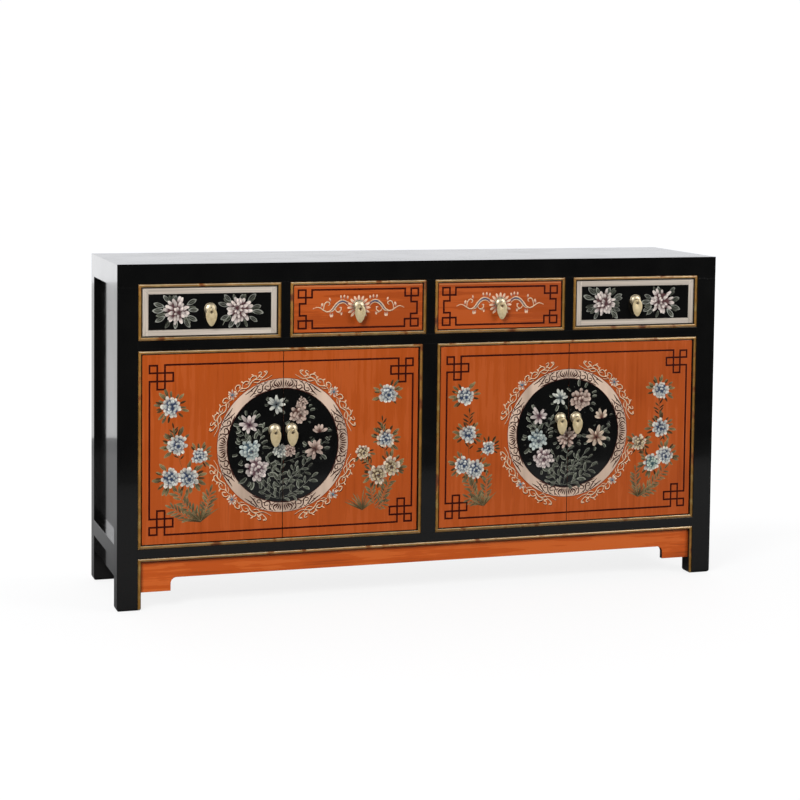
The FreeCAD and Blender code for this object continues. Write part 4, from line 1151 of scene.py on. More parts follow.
@dataclass
class Studio:
    """The camera at the photograph's viewing angle, a plain pale floor, white surroundings and soft lights.

    The camera's yaw, pitch and roll are in radians and its lens and sensor in millimetres. The surroundings are dark
    in front and bright behind, from one depth to the other, and the camera itself sees them white.
    """

    place: Point3 = (-1.62255, -4.8585, 1.21872)
    yaw: float = 0.317771
    pitch: float = 0.069518
    roll: float = 0.011437
    lens: float = 88.19
    sensor: float = 36.0
    clip: Point = (0.1, 60.0)
    shift_up: float = -0.1867
    floor_reach: tuple[float, float, float, float] = (-5.0, 7.0, -1.8, 9.0)
    floor_level: float = -0.0002
    lamps: tuple[tuple[str, Point3, Point3, Point, float], ...] = (
        ("key_soft_box", (-3.0, -3.2, 3.2), (0, 0, 0.4), (2.0, 2.0), 215),
        ("fill_soft_box", (3.4, -3.0, 2.4), (0.2, 0, 0.4), (2.0, 2.0), 108),
        ("end_soft_box", (-1.35, 2.03, 0.5), (-0.9, 0, 0.5), (1.1, 0.9), 1.8),
    )
    dark: float = 0.015
    bright: float = 0.88
    raised: float = 1.04
    white: str = "#FBFCFF"
    front_to_back: Point = (-0.55, 0.25)

    def camera(self) -> None:
        """Makes the camera."""
        level = math.cos(self.pitch)
        ahead = Vector((math.sin(self.yaw) * level, math.cos(self.yaw) * level, -math.sin(self.pitch)))
        right = Vector((math.cos(self.yaw), -math.sin(self.yaw), 0))
        up = right.cross(ahead)
        across = right * math.cos(self.roll) + up * math.sin(self.roll)
        above = up * math.cos(self.roll) - right * math.sin(self.roll)
        turn = Matrix((across, above, -ahead)).transposed().to_4x4()
        data = bpy.data.cameras.new("camera")
        data.lens, data.sensor_width, data.shift_y = self.lens, self.sensor, self.shift_up
        data.clip_start, data.clip_end = self.clip
        camera = bpy.data.objects.new("camera", data)
        camera.matrix_world = Matrix.Translation(self.place) @ turn
        bpy.context.scene.camera = enter(camera)

    def floor(self) -> None:
        """Makes the floor, which ends in front where the camera no longer sees it."""
        select()
        left, right, near, far = self.floor_reach
        bpy.ops.mesh.primitive_plane_add(size=1, location=((left + right) / 2, (near + far) / 2, self.floor_level))
        floor = bpy.context.object
        floor.name = "studio_floor"
        bpy.ops.transform.resize(value=(right - left, far - near, 1))
        Palette.PAPER.value.dress(floor)
        settle(floor)

    def light(self, name: str, place: Point3, aim: Point3, size: Point, watts: float) -> None:
        """Makes one soft box, which only shows where it is mirrored.

        Args:
            name: Its name.
            place: Where it stands, in metres.
            aim: What it points at.
            size: Its width and height in metres.
            watts: Its power.
        """
        data = bpy.data.lights.new(name, "AREA")
        data.shape = "RECTANGLE"
        data.size, data.size_y = size
        data.energy = watts
        lamp = bpy.data.objects.new(name, data)
        lamp.location = place
        lamp.rotation_mode = "QUATERNION"
        lamp.rotation_quaternion = (Vector(aim) - Vector(place)).to_track_quat("-Z", "Y")
        lamp.visible_camera = False
        enter(lamp)

    def sky(self) -> None:
        """Makes the white surroundings, dark in front where only the lacquer would mirror them."""
        world = bpy.data.worlds.new("studio_surroundings")
        world.use_nodes = True
        world.node_tree.nodes.clear()
        add = partial(add_node, world.node_tree)
        depth = add(
            "MapRange", add("SeparateXYZ", add("TexCoord").outputs["Generated"]).outputs[1],
            *self.front_to_back, self.dark, self.bright, interpolation_type="SMOOTHSTEP",
        )
        level = add("Math", depth, add("LightPath").outputs["Is Camera Ray"], operation="MAXIMUM")
        strength = add("Math", level, self.raised, operation="MULTIPLY")
        add("OutputWorld", add("Background", linear(self.white), strength))
        bpy.context.scene.world = world

    def build(self) -> None:
        """Makes it all."""
        bpy.context.scene.view_settings.view_transform = "Standard"
        self.camera()
        self.floor()
        self.sky()
        for lamp in self.lamps:
            self.light(*lamp)
        log.info("studio: camera, floor and lights")


# The sideboard

# The fret's line in millimetres, and the degrees in a radian, near enough for a brush.
FRET_WIDTH = 4.5
DEGREES = 57


@dataclass
class Carcass:
    """The fixed case: frame, panels, aprons and what is inside."""

    gilt: tuple[str, ...] = (
        "post_front_left", "post_front_right", "top_rail_front", "drawer_rail", "bottom_rail_front",
        "drawer_dividers", "centre_stile",
    )
    black: tuple[str, ...] = (
        "post_rear_left", "post_rear_right", "top_panel", "top_rail_rear", "top_side_rails", "bottom_side_rails",
        "side_panels", "side_aprons", "back_panel", "rear_rails",
    )
    bare: tuple[str, ...] = (
        "bottom_board", "dust_board", "centre_partition", "shelves", "shelf_battens", "drawer_runners",
    )

    def build(self) -> None:
        """Dresses the nodes of the case."""
        wood = ((self.gilt, Palette.GILT), (self.black, Palette.BLACK), (self.bare, Palette.ELM))
        for names, finish in (*wood, (("apron_front",), Palette.ORANGE_APRON)):
            finish.value.dress(*(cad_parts[name] for name in names))
            log.info("case: %d nodes in %s", len(names), finish.value.name)


@dataclass
class Pull:
    """A brass pull: a turned boss with a ring and a split pin, and an egg-shaped drop that hangs from the ring.

    Both are modelled once, for a ring centre at the origin, and then copied. Sizes are in millimetres.
    """

    dome_radius: float = 15.5
    dome_height: float = 9.0
    off_face: float = 13.0
    ring_radius: float = 5.2
    wire: float = 1.1
    pin_radius: float = 1.9
    leg_reach: float = 20.0
    leg_size: Point = (3.4, 1.8)
    drop_size: Point = (28.5, 44.7)
    drop_above: float = 3.2
    drop_thick: float = 1.6
    pointed: float = 0.27
    hole_radius: float = 3.0
    wood: tuple[tuple[str, float], ...] = (("drawer", 18.0), ("door", 20.0))
    ring_ahead: float = 1.4
    smooth_under: float = 38.0
    foot: float = 1.3
    dome_steps: int = 9
    pin_sides: int = 16
    sides: int = 48

    def face_circle(self, radius: float, depth: float, sides: int) -> Piece:
        """Starts a round piece as a disc that looks forward, in edit mode with all of it selected."""
        select()
        bpy.ops.mesh.primitive_circle_add(
            vertices=sides, radius=radius * MM, fill_type="NGON", location=(0, depth * MM, 0), rotation=FORWARD
        )
        settle(bpy.context.object)
        return edit_all()

    def raise_rings(self, levels: Sequence[Point]) -> Piece:
        """Extrudes the selected face forward step by step, ends the editing and gives the piece.

        Args:
            levels: The depth and the radius share of each step, both against the step before.

        Returns:
            The piece.
        """
        for step, share in levels:
            bpy.ops.mesh.extrude_region_move(TRANSFORM_OT_translate={"value": (0, -step * MM, 0)})
            stretch(share, share)
        return end_edit()

    def dome(self) -> Piece:
        """The boss's dome, turned with a small flat foot and a step under the crown."""
        self.face_circle(self.dome_radius, self.off_face, self.sides)
        levels = [(self.foot * 0.7, 1.0), (self.foot * 0.3, 0.975), (0.05, 0.965)]
        before = (0.0, 1.0)
        for step in range(1, self.dome_steps + 1):
            turn = math.pi / 2 * step / (self.dome_steps + 0.6)
            now = ((self.dome_height - self.foot) * math.sin(turn), math.cos(turn))
            levels.append((now[0] - before[0], now[1] / before[1]))
            before = now
        return self.raise_rings(levels)

    def ring(self) -> Piece:
        """The ring that carries the drop, bent from wire."""
        select()
        bpy.ops.mesh.primitive_torus_add(
            major_radius=self.ring_radius * MM, minor_radius=self.wire * MM, major_segments=32, minor_segments=12,
            rotation=(0, math.pi / 2, 0),
        )
        return settle(bpy.context.object)

    def pin(self, wood: float) -> Piece:
        """The split pin through the wood, whose legs are bent over inside."""
        wide, thick = self.leg_size
        self.face_circle(self.pin_radius, self.off_face + wood + thick, self.pin_sides)
        pieces = [self.raise_rings([(thick, 1.0), (wood + self.dome_height * 0.5, 1.0)])]
        for side in (-1, 1):
            select()
            spot = (0, (self.off_face + wood + thick / 2) * MM, side * self.leg_reach / 2 * MM)
            bpy.ops.mesh.primitive_cube_add(size=MM, location=spot)
            bpy.context.object.scale = (wide, thick, self.leg_reach)
            pieces.append(ease(settle(bpy.context.object), 0.5))
        return join(pieces, "split_pin")

    def drop(self) -> Piece:
        """The drop, cut from sheet, pierced for the ring and eased at its edges."""
        wide, high = self.drop_size
        piece = self.face_circle(0.5, -self.drop_thick / 2, self.sides)
        bpy.ops.mesh.delete(type="ONLY_FACE")
        take_all()
        stretch(wide, high)
        turns = (math.radians(turn) for turn in range(180))
        fullest = max(math.sin(turn) * (1 + self.pointed * math.cos(turn)) for turn in turns)
        for turn in range(self.sides // 2 + 1):
            level = math.cos(2 * math.pi * turn / self.sides)
            choose(piece, lambda spot: abs(spot.z - level * high / 2 * MM) < 0.02 * MM)
            stretch((1 + self.pointed * level) / fullest)
        take_all()
        shift(0, 0, (self.drop_above - high / 2) * MM)
        hole = (0, -self.drop_thick / 2 * MM, (self.wire - self.ring_radius - self.hole_radius) * MM)
        bpy.ops.mesh.primitive_circle_add(
            vertices=self.sides, radius=self.hole_radius * MM, location=hole, rotation=FORWARD
        )
        take_all()
        bpy.ops.mesh.bridge_edge_loops()
        take_all()
        bpy.ops.mesh.normals_make_consistent(inside=False)
        end_edit()
        return ease(piece, 0.75, self.drop_thick)

    def place(self, pattern: Piece, part: str, kind: str, number: int, finish: Palette) -> None:
        """Copies a modelled piece to its place in stead of a node.

        Args:
            pattern: The modelled piece.
            part: Which part of the pull it is, the boss or the drop.
            kind: Whether it goes on a drawer or on a door.
            number: The number of that drawer or door.
            finish: Its finish.
        """
        node = f"{kind}_pull_{part}_{number}"
        body = f"{kind}_{number}" if part == "boss" else f"{kind}_{part}_{number}"
        low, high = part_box(f"{kind}_pull_boss_{number}")
        spot = ((low.x + high.x) / 2, low.y + (self.ring_radius + self.ring_ahead) * MM, (low.z + high.z) / 2)
        copy = pattern.copy()
        copy.data = pattern.data.copy()
        copy.data.transform(Matrix.Translation(spot))
        copy.name = copy.data.name = f"brass_{part}_{kind}_{number}"
        enter(copy)
        finish.value.dress(copy)
        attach(copy, body)
        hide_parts(node)

    def build(self) -> None:
        """Models the pull and puts one on every drawer and door."""
        for kind, wood in self.wood:
            boss = join([self.dome(), self.ring(), self.pin(wood)], "boss_pattern")
            drop = self.drop()
            for piece in (boss, drop):
                select(piece)
                bpy.ops.object.shade_smooth_by_angle(angle=math.radians(self.smooth_under))
            for number in range(1, 5):
                self.place(boss, "boss", kind, number, Palette.BRASS)
                self.place(drop, "drop", kind, number, Palette.SHEET_BRASS)
            bpy.data.objects.remove(boss)
            bpy.data.objects.remove(drop)
        log.info("pulls: eight bosses and eight drops")


def prime(kind: str, number: int, finish: Palette, inside: Palette, seed: int) -> Florist:
    """Dresses a drawer's or door's nodes, and gets its front ready for the painter.

    Args:
        kind: Whether it is a drawer or a door.
        number: Its number.
        finish: The finish of its front.
        inside: The finish of its other nodes.
        seed: What the painter's hand starts from.

    Returns:
        The painting, with nothing on it yet.
    """
    front, *others = {"drawer": ("front", "box", "bottom"), "door": ("leaf", "pins")}[kind]
    finish.value.dress(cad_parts[f"{kind}_{front}_{number}"])
    inside.value.dress(*(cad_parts[f"{kind}_{part}_{number}"] for part in others))
    return Florist(f"painting_{kind}_{number}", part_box(f"{kind}_{front}_{number}")[0].y, seed)


@dataclass
class FlowerDrawer:
    """A black drawer with a pale border and a flower on each side of its pull."""

    number: int
    flowers: tuple[Flower, ...]
    stems: tuple[tuple[Point, ...], ...]
    border: float = 14.5
    inset: float = 0.4
    line_inset: float = 0.6
    line_width: float = 1.1
    mitre_width: float = 0.7
    stem_width: float = 2.6
    leaf_wide: float = 0.43
    middle: Point = (570.0, 732.5)
    half: Point = (168.4, 58.9)
    room: Point = (690.5, 773.5)

    def build(self) -> None:
        """Dresses the drawer and paints its front."""
        painting = prime("drawer", self.number, Palette.BLACK, Palette.ELM, self.number)
        painting.room, painting.leaf_wide = self.room, self.leaf_wide
        across, up = math.copysign(self.middle[0], self.number - 2.5), self.middle[1]
        wide, high = self.half[0] - self.inset, self.half[1] - self.inset
        left, right, low, high = across - wide, across + wide, up - high, up + high
        wide = self.border
        for level in (low + wide / 2, high - wide / 2):
            painting.ruled([(left + wide / 2, level), (right - wide / 2, level)], wide, BORDER, 0.0)
        for edge in (left + wide / 2, right - wide / 2):
            painting.ruled([(edge, low + wide / 2), (edge, high - wide / 2)], wide, BORDER, 0.0)
        corners = ((left, low, 1, 1), (right, low, -1, 1), (right, high, -1, -1), (left, high, 1, -1))
        for inset in (wide, self.line_inset):
            line = [(x + inset * way_x, z + inset * way_z) for x, z, way_x, way_z in (*corners, corners[0])]
            painting.ruled(line, self.line_width, BORDER_LINE, 0.1)
        for x, z, way_x, way_z in sorted(corners):
            inner = (x + way_x * wide, z + way_z * wide)
            mitre = [(x, z), ((x + inner[0]) / 2, (z + inner[1]) / 2), inner]
            painting.lines([mitre], self.mitre_width, BORDER_LINE, 0.14)
        for stem in self.stems:
            painting.lines([stem], self.stem_width, STEM, 0.14)
        for flower in self.flowers:
            painting.plant(flower)
        painting.finish(f"drawer_{self.number}")


@dataclass
class ScrollDrawer:
    """An orange drawer with a ruled fret and, round its pull, a palmette between two scrolls.

    The fret, the vines and the buds are given for one side, from the drawer's middle. A bud has its place, its
    direction and its length. A pale line along the upper edge is a painted highlight on its rounded arris.
    """

    number: int
    middle: Point = (190.0, 732.5)
    fret: tuple[Point, ...] = (
        (0, 47.5), (122, 47.5), (122, 28.5), (157, 28.5), (157, 47.5), (138, 47.5), (138, 13.5), (154, 13.5),
        (154, -16.5), (137, -16.5), (137, -48.5), (157, -48.5), (157, -29.5), (121, -29.5), (121, -48.5), (0, -48.5),
    )
    vines: tuple[tuple[Point, ...], ...] = (
        ((27, 10), (36, 16.5), (44, 17.8), (51, 15), (58, 9.3), (64, 1.5), (70, -6)),
        (
            (24, 13.5), (30, 16), (37, 19.5), (44, 21.3), (52, 18.5), (59, 12.5), (65, 5), (71, -4), (80, -9),
            (88, -7), (96, -1), (103, 3), (110, 4.5), (120, -0.5),
        ),
        ((28, 5), (35, 13), (44, 14.3), (52, 11.3), (58, 5.5), (63, -2), (70, -9), (80, -9)),
        ((92, -4), (91, 4), (90, 11), (84, 17.5), (77, 15.5), (75, 10), (80, 7)),
        ((62, 0), (60, -7), (53, -10), (46, -5), (46, 2), (51, 3.5)),
        ((57, -9), (49, -13), (43, -11)),
    )
    buds: tuple[tuple[float, float, float, float], ...] = (
        (46.5, 23.5, -6, 10), (38, 24, 0, 10.5), (30.5, 22, 10, 10), (74, 17.5, -16, 10), (98, 3, 16, 12),
        (75, -11, 172, 11), (68, -11, 192, 11), (43, -9, 205, 9), (52, 3, 100, 8),
    )
    widths: tuple[float, ...] = (4.4, 3.9, 3.2, 3.4, 3.4, 3.2)
    bud_wide: float = 0.46
    palmette: tuple[int, float] = (6, 23.0)
    palmette_up: float = 2.0
    palmette_radius: float = 12.5
    palmette_size: Point = (6.6, 18.5)
    highlight_half: float = 166.0
    highlight_up: float = 56.4
    highlight_width: float = 3.0

    def build(self) -> None:
        """Dresses the drawer and paints its front."""
        painting = prime("drawer", self.number, Palette.ORANGE_LONG, Palette.ELM, self.number)
        across, up = math.copysign(self.middle[0], self.number - 2.5), self.middle[1]
        for side in (-1, 1):
            painting.ruled([(across + side * x, up + z) for x, z in self.fret], FRET_WIDTH, OXBLOOD)
            for number, (vine, width) in enumerate(zip(self.vines, self.widths)):
                line = [(across + side * x, up + z) for x, z in vine]
                painting.lines([line], width, CREAM_ON_ORANGE if number else BLUE_ON_ORANGE, 0.1 if number else 0.07)
            for x, z, turn, length in self.buds:
                spot, size = (across + side * x, up + z), (length * self.bud_wide, length)
                painting.lay(Stroke.PETAL, spot, size, side * turn, BUD, 0.14)
        # Painted highlight: a pale line along the upper arris, where the rounded edge catches the light.
        worn = [(across + way * self.highlight_half, up + self.highlight_up) for way in (-1, 1)]
        painting.ruled(worn, self.highlight_width, TOP_EDGE_HIGHLIGHT)
        count, step = self.palmette
        for petal in range(-count, count + 1):
            turn = step * petal
            spot = away((across, up + self.palmette_up), turn, self.palmette_radius)
            painting.lay(Stroke.PETAL, spot, self.palmette_size, turn, BUD, 0.12)
        painting.finish(f"drawer_{self.number}")


@dataclass
class Bay:
    """A cupboard bay: two orange leaves with a ruled fret, a round medallion across both and a spray on each side.

    The fret's knot is given from its corner. The seam is where the two leaves meet.
    """

    doors: tuple[int, int]
    centre: Point
    bouquet: tuple[Flower, ...]
    branches: tuple[Sprig, ...]
    side_flowers: tuple[Flower, ...]
    side_branches: tuple[Sprig, ...]
    grasses: tuple[tuple[Point, float, Point, int], ...]
    disc_radius: float = 142.5
    disc_edge: float = 1.6
    ring_radius: float = 168.0
    ring_edge: float = 1.2
    frieze_radius: float = 155.0
    scroll_width: float = 2.9
    dark_width: float = 3.4
    shadow_off: Point = (0.5, -1.1)
    seam: float = 384.0
    fret_edges: tuple[float, float] = (-336.5, 338.5)
    knot: tuple[Point, ...] = (
        (0, 0), (0, -169.5), (58.5, -169.5), (58.5, -190), (0, -190), (0, -208.5), (19, -208.5), (19, -149.5),
        (38, -149.5), (38, -209.5), (337.2, -209.5),
    )

    def fret(self, painting: Florist) -> None:
        """Rules the fret, whose corner knots are the same line turned over."""
        for edge, sense in ((self.fret_edges[0], 1), (self.fret_edges[1], -1)):
            for flip in (-1, 1):
                line = [(self.centre[0] + edge + sense * x, self.centre[1] + flip * -z) for x, z in self.knot]
                painting.ruled(line, FRET_WIDTH, OXBLOOD)

    def grounds(self, painting: Florist) -> None:
        """Fills the medallion's ring and its black ground."""
        painting.disc(self.centre, self.ring_radius + self.ring_edge, RING_RED, 0.0)
        painting.disc(self.centre, self.ring_radius, CREAM, 0.04)
        painting.disc(self.centre, self.disc_radius + self.disc_edge, RING_DARK, 0.08)
        painting.disc(self.centre, self.disc_radius, UNDER_LACQUER, 0.12, Palette.BLACK)

    def around(self, turn: float, side: int, run: Iterable[Point], base: float) -> list[Point]:
        """The places of points that are given along the ring and outwards from it.

        Args:
            turn: The direction of the pattern's middle, in degrees from upright to the left.
            side: Whether they go to the left of it or, with a minus, to the right.
            run: For each point its distance along the ring, and outwards from the base.
            base: The radius that both are counted from.

        Returns:
            Their places on the front.
        """
        return [away(self.centre, turn + math.degrees(side * x / base), base + out) for x, out in run]

    def frieze(self, painting: Florist) -> None:
        """Draws the dark scrolls in the ring, the same at the top, the bottom and both sides."""
        base = self.frieze_radius
        runs = (
            ((17, 11), (24, 6), (24, -2), (19, -6), (14, -5)),
            ((23, 11), (31, 9), (35, 2), (33, -6), (38, -11), (47, -9), (50, -2), (45, 3), (40, -1)),
            ((37, 11), (47, 9), (54, 3), (56, -5), (62, -9), (70, -6), (69, 0), (64, 1)),
            ((57, 11), (66, 7), (74, 1), (83, -3), (94, -5)),
            ((64, 11), (75, 9), (87, 6), (100, 7)),
            ((22, -10), (29, -5), (29, 2)),
            ((50, -11), (62, -12), (74, -10), (88, -9)),
            ((2, -11.5), (12, -11.5), (24, -11.5)),
        )
        teeth = ((26, -6), (29, 4), (36, -2), (42, 6), (46, -6), (52, 6), (59, -2), (63, 6), (74, -6), (80, 2))
        for turn in (0, 90, 180, 270):
            for side in (-1, 1):
                lines = [self.around(turn, side, run, base) for run in runs]
                painting.lines(lines, self.dark_width, RING_DARK, 0.1)
                for number, ((x, _), spot) in enumerate(zip(teeth, self.around(turn, side, teeth, base))):
                    lean = turn + side * (x / base * DEGREES + (38 if number % 2 else 74))
                    painting.lay(Stroke.LEAF, spot, (2.6, 8.5), lean, RING_DARK, 0.12)
            for ray in range(-4, 5):
                (spot,) = self.around(turn, 1, [(ray * 3.0, -10.5)], base)
                painting.lay(Stroke.PETAL, spot, (3.7, 21.5 - 1.2 * abs(ray)), turn + ray * 13, RING_DARK, 0.12)

    def scrolls(self, painting: Florist) -> None:
        """Draws the pale scrolls and small flowers outside the ring, the same on the four diagonals."""
        base = self.ring_radius
        runs = (
            ((8, 8), (16, 13), (26, 12), (33, 6), (42, 5), (50, 11), (60, 15), (70, 11), (78, 5), (90, 5), (104, 11)),
            ((13, 14), (12, 21), (18, 26), (26, 24), (27, 18), (21, 17)),
            ((28, 13), (33, 20), (42, 22), (48, 16), (44, 11), (38, 14)),
            ((46, 11), (51, 20), (60, 25), (69, 21), (68, 14), (61, 15)),
            ((66, 13), (75, 17), (83, 23), (80, 28), (74, 25)),
            ((76, 9), (86, 13), (95, 20), (93, 26), (87, 24)),
            ((56, 11), (62, 4), (70, 3), (76, 8)),
            ((18, 11), (22, 4), (30, 4)),
        )
        touches = (
            (11, 12, -20, 9), (22, 14, 30, 8), (30, 9, -40, 8), (37, 20, -30, 9), (46, 8, 60, 8),
            (53, 16, -20, 9), (64, 24, -40, 8), (72, 15, 40, 8), (82, 12, -60, 9), (92, 20, -40, 8),
        )
        for turn in (45, 135, 225, 315):
            for side in (-1, 1):
                lines = [self.around(turn, side, run, base) for run in runs]
                shadow = [[(x + self.shadow_off[0], z + self.shadow_off[1]) for x, z in line] for line in lines]
                painting.lines(shadow, self.dark_width, RING_RED, 0.02)
                painting.lines(lines, self.scroll_width, CREAM_ON_ORANGE, 0.06)
                for x, out, lean, long in touches:
                    (spot,) = self.around(turn, side, [(x, out)], base)
                    lean = turn + side * (x / base * DEGREES + lean)
                    painting.lay(Stroke.LEAF, spot, (long * 0.36, long), lean, CREAM_ON_ORANGE, 0.1)
            painting.plant(Flower(Bloom.DAISY, *self.around(turn, 1, [(0, 16)], base), 13, CREAM_PETAL))

    def build(self) -> None:
        """Dresses both leaves and paints the picture across them."""
        # The left leaf's painting takes the strokes of both until it is split.
        painting, _ = (prime("door", number, Palette.ORANGE, Palette.BRASS, number + 10) for number in self.doors)
        self.fret(painting)
        self.grounds(painting)
        self.frieze(painting)
        self.scrolls(painting)
        for root, length, turns, count in self.grasses:
            painting.grass(root, length, turns, count, GRASS)
        for branch in (*self.branches, *self.side_branches):
            painting.grow(branch, 0.14 if branch in self.branches else 0.05)
        for flower in (*self.bouquet, *self.side_flowers):
            painting.plant(flower)
        left, right = ((f"painting_door_{number}", f"door_{number}") for number in self.doors)
        painting.split(math.copysign(self.seam, self.centre[0]), left, right)


# The designs

DRAWER_LEFT = FlowerDrawer(
    1,
    (
        Flower(
            Bloom.ASTER, (-655, 735), 33, PETAL_IN_DRAWER, -120,
            (28, 58, 84, 128, 165, -62, 5, -98, -118, -150), LEAF_IN_DRAWER,
        ),
        Flower(
            Bloom.ASTER, (-496, 735), 33, PETAL_IN_DRAWER, 60,
            (3, 42, 74, 168, -40, -72, -104, -138, 108, 142), LEAF_IN_DRAWER,
        ),
    ),
    (((-633, 722), (-624, 712), (-619, 696)), ((-518, 724), (-532, 712), (-539, 697))),
)
DRAWER_RIGHT = FlowerDrawer(
    4,
    (
        Flower(
            Bloom.ASTER, (479, 734), 33, PETAL_IN_DRAWER, -120,
            (20, 52, 84, 108, 140, -30, -60, -84, -112, -150), LEAF_IN_DRAWER,
        ),
        Flower(
            Bloom.ASTER, (645, 734), 33, PETAL_IN_DRAWER, 100,
            (12, 58, 86, 110, 142, -38, -70, -104, -140), LEAF_IN_DRAWER,
        ),
    ),
    (((501, 720), (506, 708), (506, 693)), ((618, 722), (606, 710), (602, 697))),
)
BAY_LEFT = Bay(
    (1, 2),
    (-383.5, 393.5),
    (
        Flower(Bloom.LILY, (-401, 496), 26, PETAL_WHITE, 60, (37, 66, 96, -48, -82, -135, 150), petals=8),
        Flower(Bloom.PEONY, (-335, 499), 15, PETAL_PINK, leaves=(20, -50, -90), leaf_ink=LEAF_DIM),
        Flower(Bloom.PEONY, (-343, 470), 26, PETAL_PINK, leaves=(-56, -84, -116, -146, 130)),
        Flower(
            Bloom.LILY, (-470, 447), 28, PETAL_ON_BLACK, 20,
            (0, 44, 84, -36, -64, -112, 122, 150), petals=8, leaf_long=0.92,
        ),
        Flower(
            Bloom.PEONY, (-468, 384), 28, PETAL_GREEN_WHITE,
            leaves=(90, 122, 56, 28, -8, -36, -62, -92), leaf_long=0.95,
        ),
        Flower(
            Bloom.PEONY, (-450, 338), 32, PETAL_ON_BLACK,
            leaves=(67, 90, 116, 140, 164, -172, -46, -80, -112, -145), leaf_long=0.92,
        ),
        Flower(Bloom.PEONY, (-392, 380), 19, PETAL_WHITE, leaves=(100, 60), leaf_long=0.9),
        Flower(Bloom.PEONY, (-367, 380), 17, PETAL_PINK, leaves=(-80, -40), leaf_ink=LEAF_DIM, leaf_long=0.9),
        Flower(Bloom.LILY, (-289, 422), 24, PETAL_PINK, 4, (-70, -100, -136, 100, 140), petals=5),
        Flower(Bloom.LILY, (-301, 380), 28, PETAL_PINK, 24, (76, 104, 134, -70, -98, -124, -155, 40), petals=8),
    ),
    (
        Sprig((-392, 260), (-386, 366), 10, 19, 0.02),
        Sprig((-389, 262), (-308, 312), 8, 22, -0.16),
        Sprig((-388, 296), (-322, 350), 7, 20, -0.14),
        Sprig((-394, 262), (-438, 300), 6, 20, 0.14),
        Sprig((-391, 296), (-418, 352), 5, 20, 0.16),
        Sprig((-390, 260), (-346, 270), 4, 16, -0.1),
        Sprig((-392, 274), (-446, 330), 6, 19, 0.14),
        Sprig((-389, 274), (-352, 340), 7, 18, -0.1),
        Sprig((-389, 280), (-318, 336), 6, 19, -0.12, LEAF_DIM),
        Sprig((-394, 260), (-430, 274), 3, 16, 0.1),
        Sprig((-380, 352), (-318, 374), 4, 15, -0.08, LEAF_DIM),
        Sprig((-460, 398), (-490, 432), 5, 18, 0.1),
        Sprig((-446, 404), (-436, 438), 4, 17, -0.1),
        Sprig((-300, 384), (-270, 404), 4, 15, -0.1, LEAF_DIM),
    ),
    (
        on_orange((-666, 499), 27, PETAL_ON_ORANGE, PETAL_BLUE, 52, 80, 128, 150, -50, -112, 20),
        on_orange((-651, 405), 26, PETAL_ON_ORANGE, PETAL_BLUE, 10, 34, 60, 90, 120, -30),
        on_orange((-596, 375), 21, PETAL_ON_ORANGE, PETAL_BLUE, -14, -50, -84, -130, 20),
        on_orange((-668, 324), 26, PETAL_ON_ORANGE, PETAL_BLUE, 48, 84, 110, 150, 178),
        on_orange((-624, 322), 27, PETAL_ON_ORANGE, PETAL_BLUE, -60, -86, -112, -146, 170, -20),
        on_orange((-111, 513), 25, PETAL_ON_ORANGE, PETAL_BLUE, 60, 96, -40, -84, -120),
        on_orange((-117, 399), 25, PETAL_WARM, PETAL_BLUE, 24, 60, 86, -50, -80, -124),
        on_orange((-175, 367), 19, PETAL_WARM, PETAL_SAND, 150, -150, -100),
        on_orange((-102, 328), 25, PETAL_WARM, PETAL_SAND, -20, -62, -92, -120, 20),
        on_orange((-136, 309), 26, PETAL_WARM, PETAL_SAND, 60, 92, 130, 170, -160),
    ),
    (
        frond((-640, 350), (-660, 448), 16, 16, 0.05, LEAF_DARK),
        frond((-592, 214), (-650, 290), 16, 24, 0.12),
        frond((-592, 214), (-664, 250), 14, 22, 0.12),
        frond((-592, 214), (-570, 284), 14, 22, -0.12),
        frond((-115, 350), (-124, 446), 14, 16, 0.04, LEAF_DARK),
        frond((-150, 330), (-172, 352), 7, 14, 0.04, LEAF_DARK),
        frond((-140, 222), (-106, 292), 18, 18, -0.1),
        frond((-140, 222), (-152, 274), 11, 18, 0.1),
        frond((-142, 224), (-116, 236), 7, 15, -0.1),
    ),
    (
        ((-592, 211), 62, (78, -44), 15),
        ((-176, 219), 52, (64, -48), 13),
    ),
)
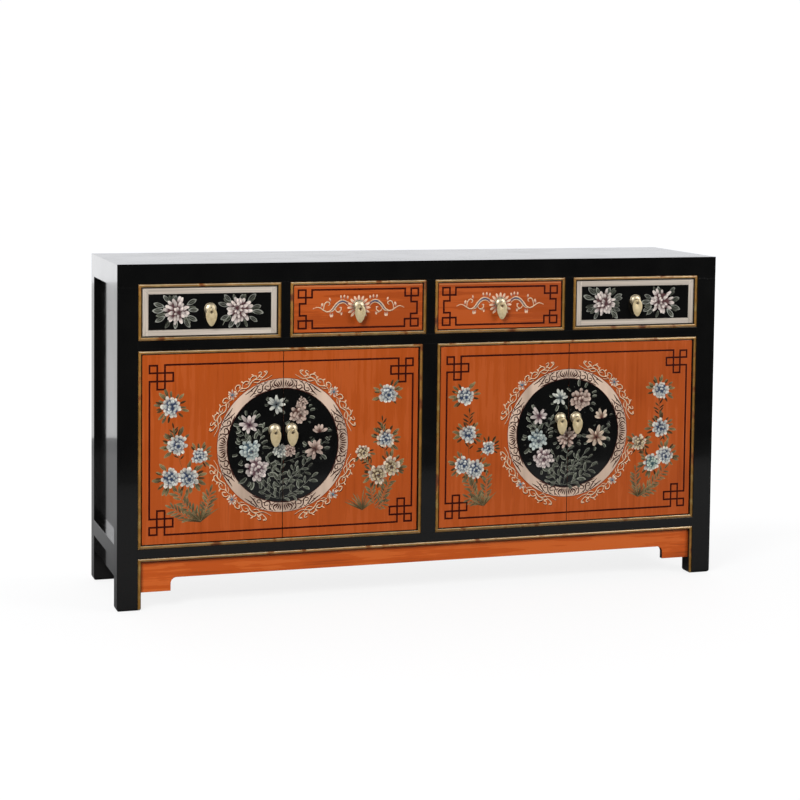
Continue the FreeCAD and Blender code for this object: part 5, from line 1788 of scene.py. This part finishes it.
BAY_RIGHT = Bay(
    (3, 4),
    (383.5, 393.5),
    (
        Flower(Bloom.LILY, (362, 486), 24, PETAL_WHITE, 50, (60, 110, 150, -150), petals=8, leaf_long=0.95),
        Flower(Bloom.PEONY, (418, 481), 31, PETAL_PINK, leaves=(40, 4, -34, -62, -90, -118, -146, 148)),
        Flower(Bloom.LILY, (303, 440), 27, PETAL_ON_BLACK, 40, (130, 60, 20, -110, -150), petals=8, leaf_long=0.95),
        Flower(Bloom.LILY, (480, 428), 25, PETAL_CREAM, 4, (-80, -116, -150, 110, 150), petals=5),
        Flower(Bloom.LILY, (465, 379), 30, PETAL_CREAM, 10, (-40, -64, -92, -120, -146, 70, 100, 172), petals=8),
        Flower(
            Bloom.PEONY, (299, 379), 28, PETAL_GREEN_WHITE,
            leaves=(92, 122, 62, 26, -6, -34, -60, -90), leaf_long=0.95,
        ),
        Flower(Bloom.PEONY, (315, 330), 31, PETAL_ON_BLACK, leaves=(66, 92, 172, -162, -136, -108), leaf_long=0.68),
        Flower(Bloom.ASTER, (382, 380), 27, PETAL_PINK, 20, (62, 96, 124, 150, -50, -80, -104, -132)),
    ),
    (
        Sprig((374, 257), (384, 362), 10, 19, -0.02),
        Sprig((376, 258), (452, 304), 8, 23, -0.16),
        Sprig((378, 290), (432, 338), 6, 20, -0.14),
        Sprig((373, 258), (330, 296), 6, 20, 0.14),
        Sprig((375, 290), (346, 340), 5, 20, 0.16),
        Sprig((376, 257), (420, 266), 4, 16, -0.1),
        Sprig((374, 274), (322, 318), 6, 19, 0.14),
        Sprig((377, 272), (412, 336), 7, 18, -0.1),
        Sprig((378, 278), (444, 326), 6, 19, -0.12, LEAF_DIM),
        Sprig((372, 257), (336, 268), 3, 16, 0.1),
        Sprig((412, 334), (462, 312), 2, 12, -0.2, LEAF_DIM),
        Sprig((306, 394), (280, 426), 5, 18, 0.1),
        Sprig((322, 396), (336, 428), 4, 17, -0.1),
        Sprig((466, 384), (494, 402), 4, 15, -0.1, LEAF_DIM),
    ),
    (
        on_orange((98, 500), 25, PETAL_ON_ORANGE, PETAL_BLUE, 50, 88, 120, -46, -84),
        on_orange((107, 401), 24, PETAL_ON_ORANGE, PETAL_BLUE, 40, 78, 104, -50, -86, -120),
        on_orange((163, 363), 20, PETAL_ON_ORANGE, PETAL_BLUE, 20, -20, -60, -100, 110, leaf_ink=LEAF_DARK),
        on_orange((94, 322), 24, PETAL_ON_ORANGE, PETAL_BLUE, 30, 66, 96, 130),
        on_orange((127, 309), 26, PETAL_ON_ORANGE, PETAL_BLUE, -50, -84, -120, 170, 140),
        on_orange((649, 498), 25, PETAL_ON_ORANGE, PETAL_BLUE, 50, 84, 20, -12, -56, -92, -130),
        on_orange((649, 397), 26, PETAL_ON_ORANGE, PETAL_BLUE, 10, 60, 90, -60, -96, -140),
        on_orange((588, 360), 22, PETAL_WARM, PETAL_SAND, 60, 90, 130, -80, -100, -150),
        on_orange((664, 322), 25, PETAL_ON_ORANGE, PETAL_BLUE, -20, -56, -90, -120, 14),
        on_orange((626, 305), 25, PETAL_ON_ORANGE, PETAL_TEAL, 50, 84, 116, 150, 180),
    ),
    (
        frond((110, 340), (110, 458), 18, 16, 0.04, LEAF_DARK),
        frond((152, 214), (108, 286), 16, 22, 0.14),
        frond((152, 214), (158, 290), 14, 19, -0.06),
        frond((152, 214), (112, 236), 9, 19, 0.1),
        frond((652, 340), (645, 470), 20, 16, 0.03, LEAF_DARK),
        frond((612, 325), (592, 345), 7, 14, 0.04, LEAF_DARK),
        frond((588, 216), (664, 288), 18, 19, -0.1),
        frond((588, 216), (580, 284), 14, 19, 0.08),
        frond((588, 216), (632, 238), 11, 17, -0.1),
    ),
    (
        ((152, 212), 56, (72, -40), 13),
        ((588, 214), 50, (50, -62), 12),
    ),
)


def main() -> None:
    """Builds the studio and the sideboard."""
    logging.basicConfig(level=logging.INFO, format="%(name)s: %(message)s")
    Studio().build()
    Carcass().build()
    Pull().build()
    STENCILS.build()
    for part in (DRAWER_LEFT, ScrollDrawer(2), ScrollDrawer(3), DRAWER_RIGHT, BAY_LEFT, BAY_RIGHT):
        part.build()
    STENCILS.clear()


if __name__ == "__main__":
    main()
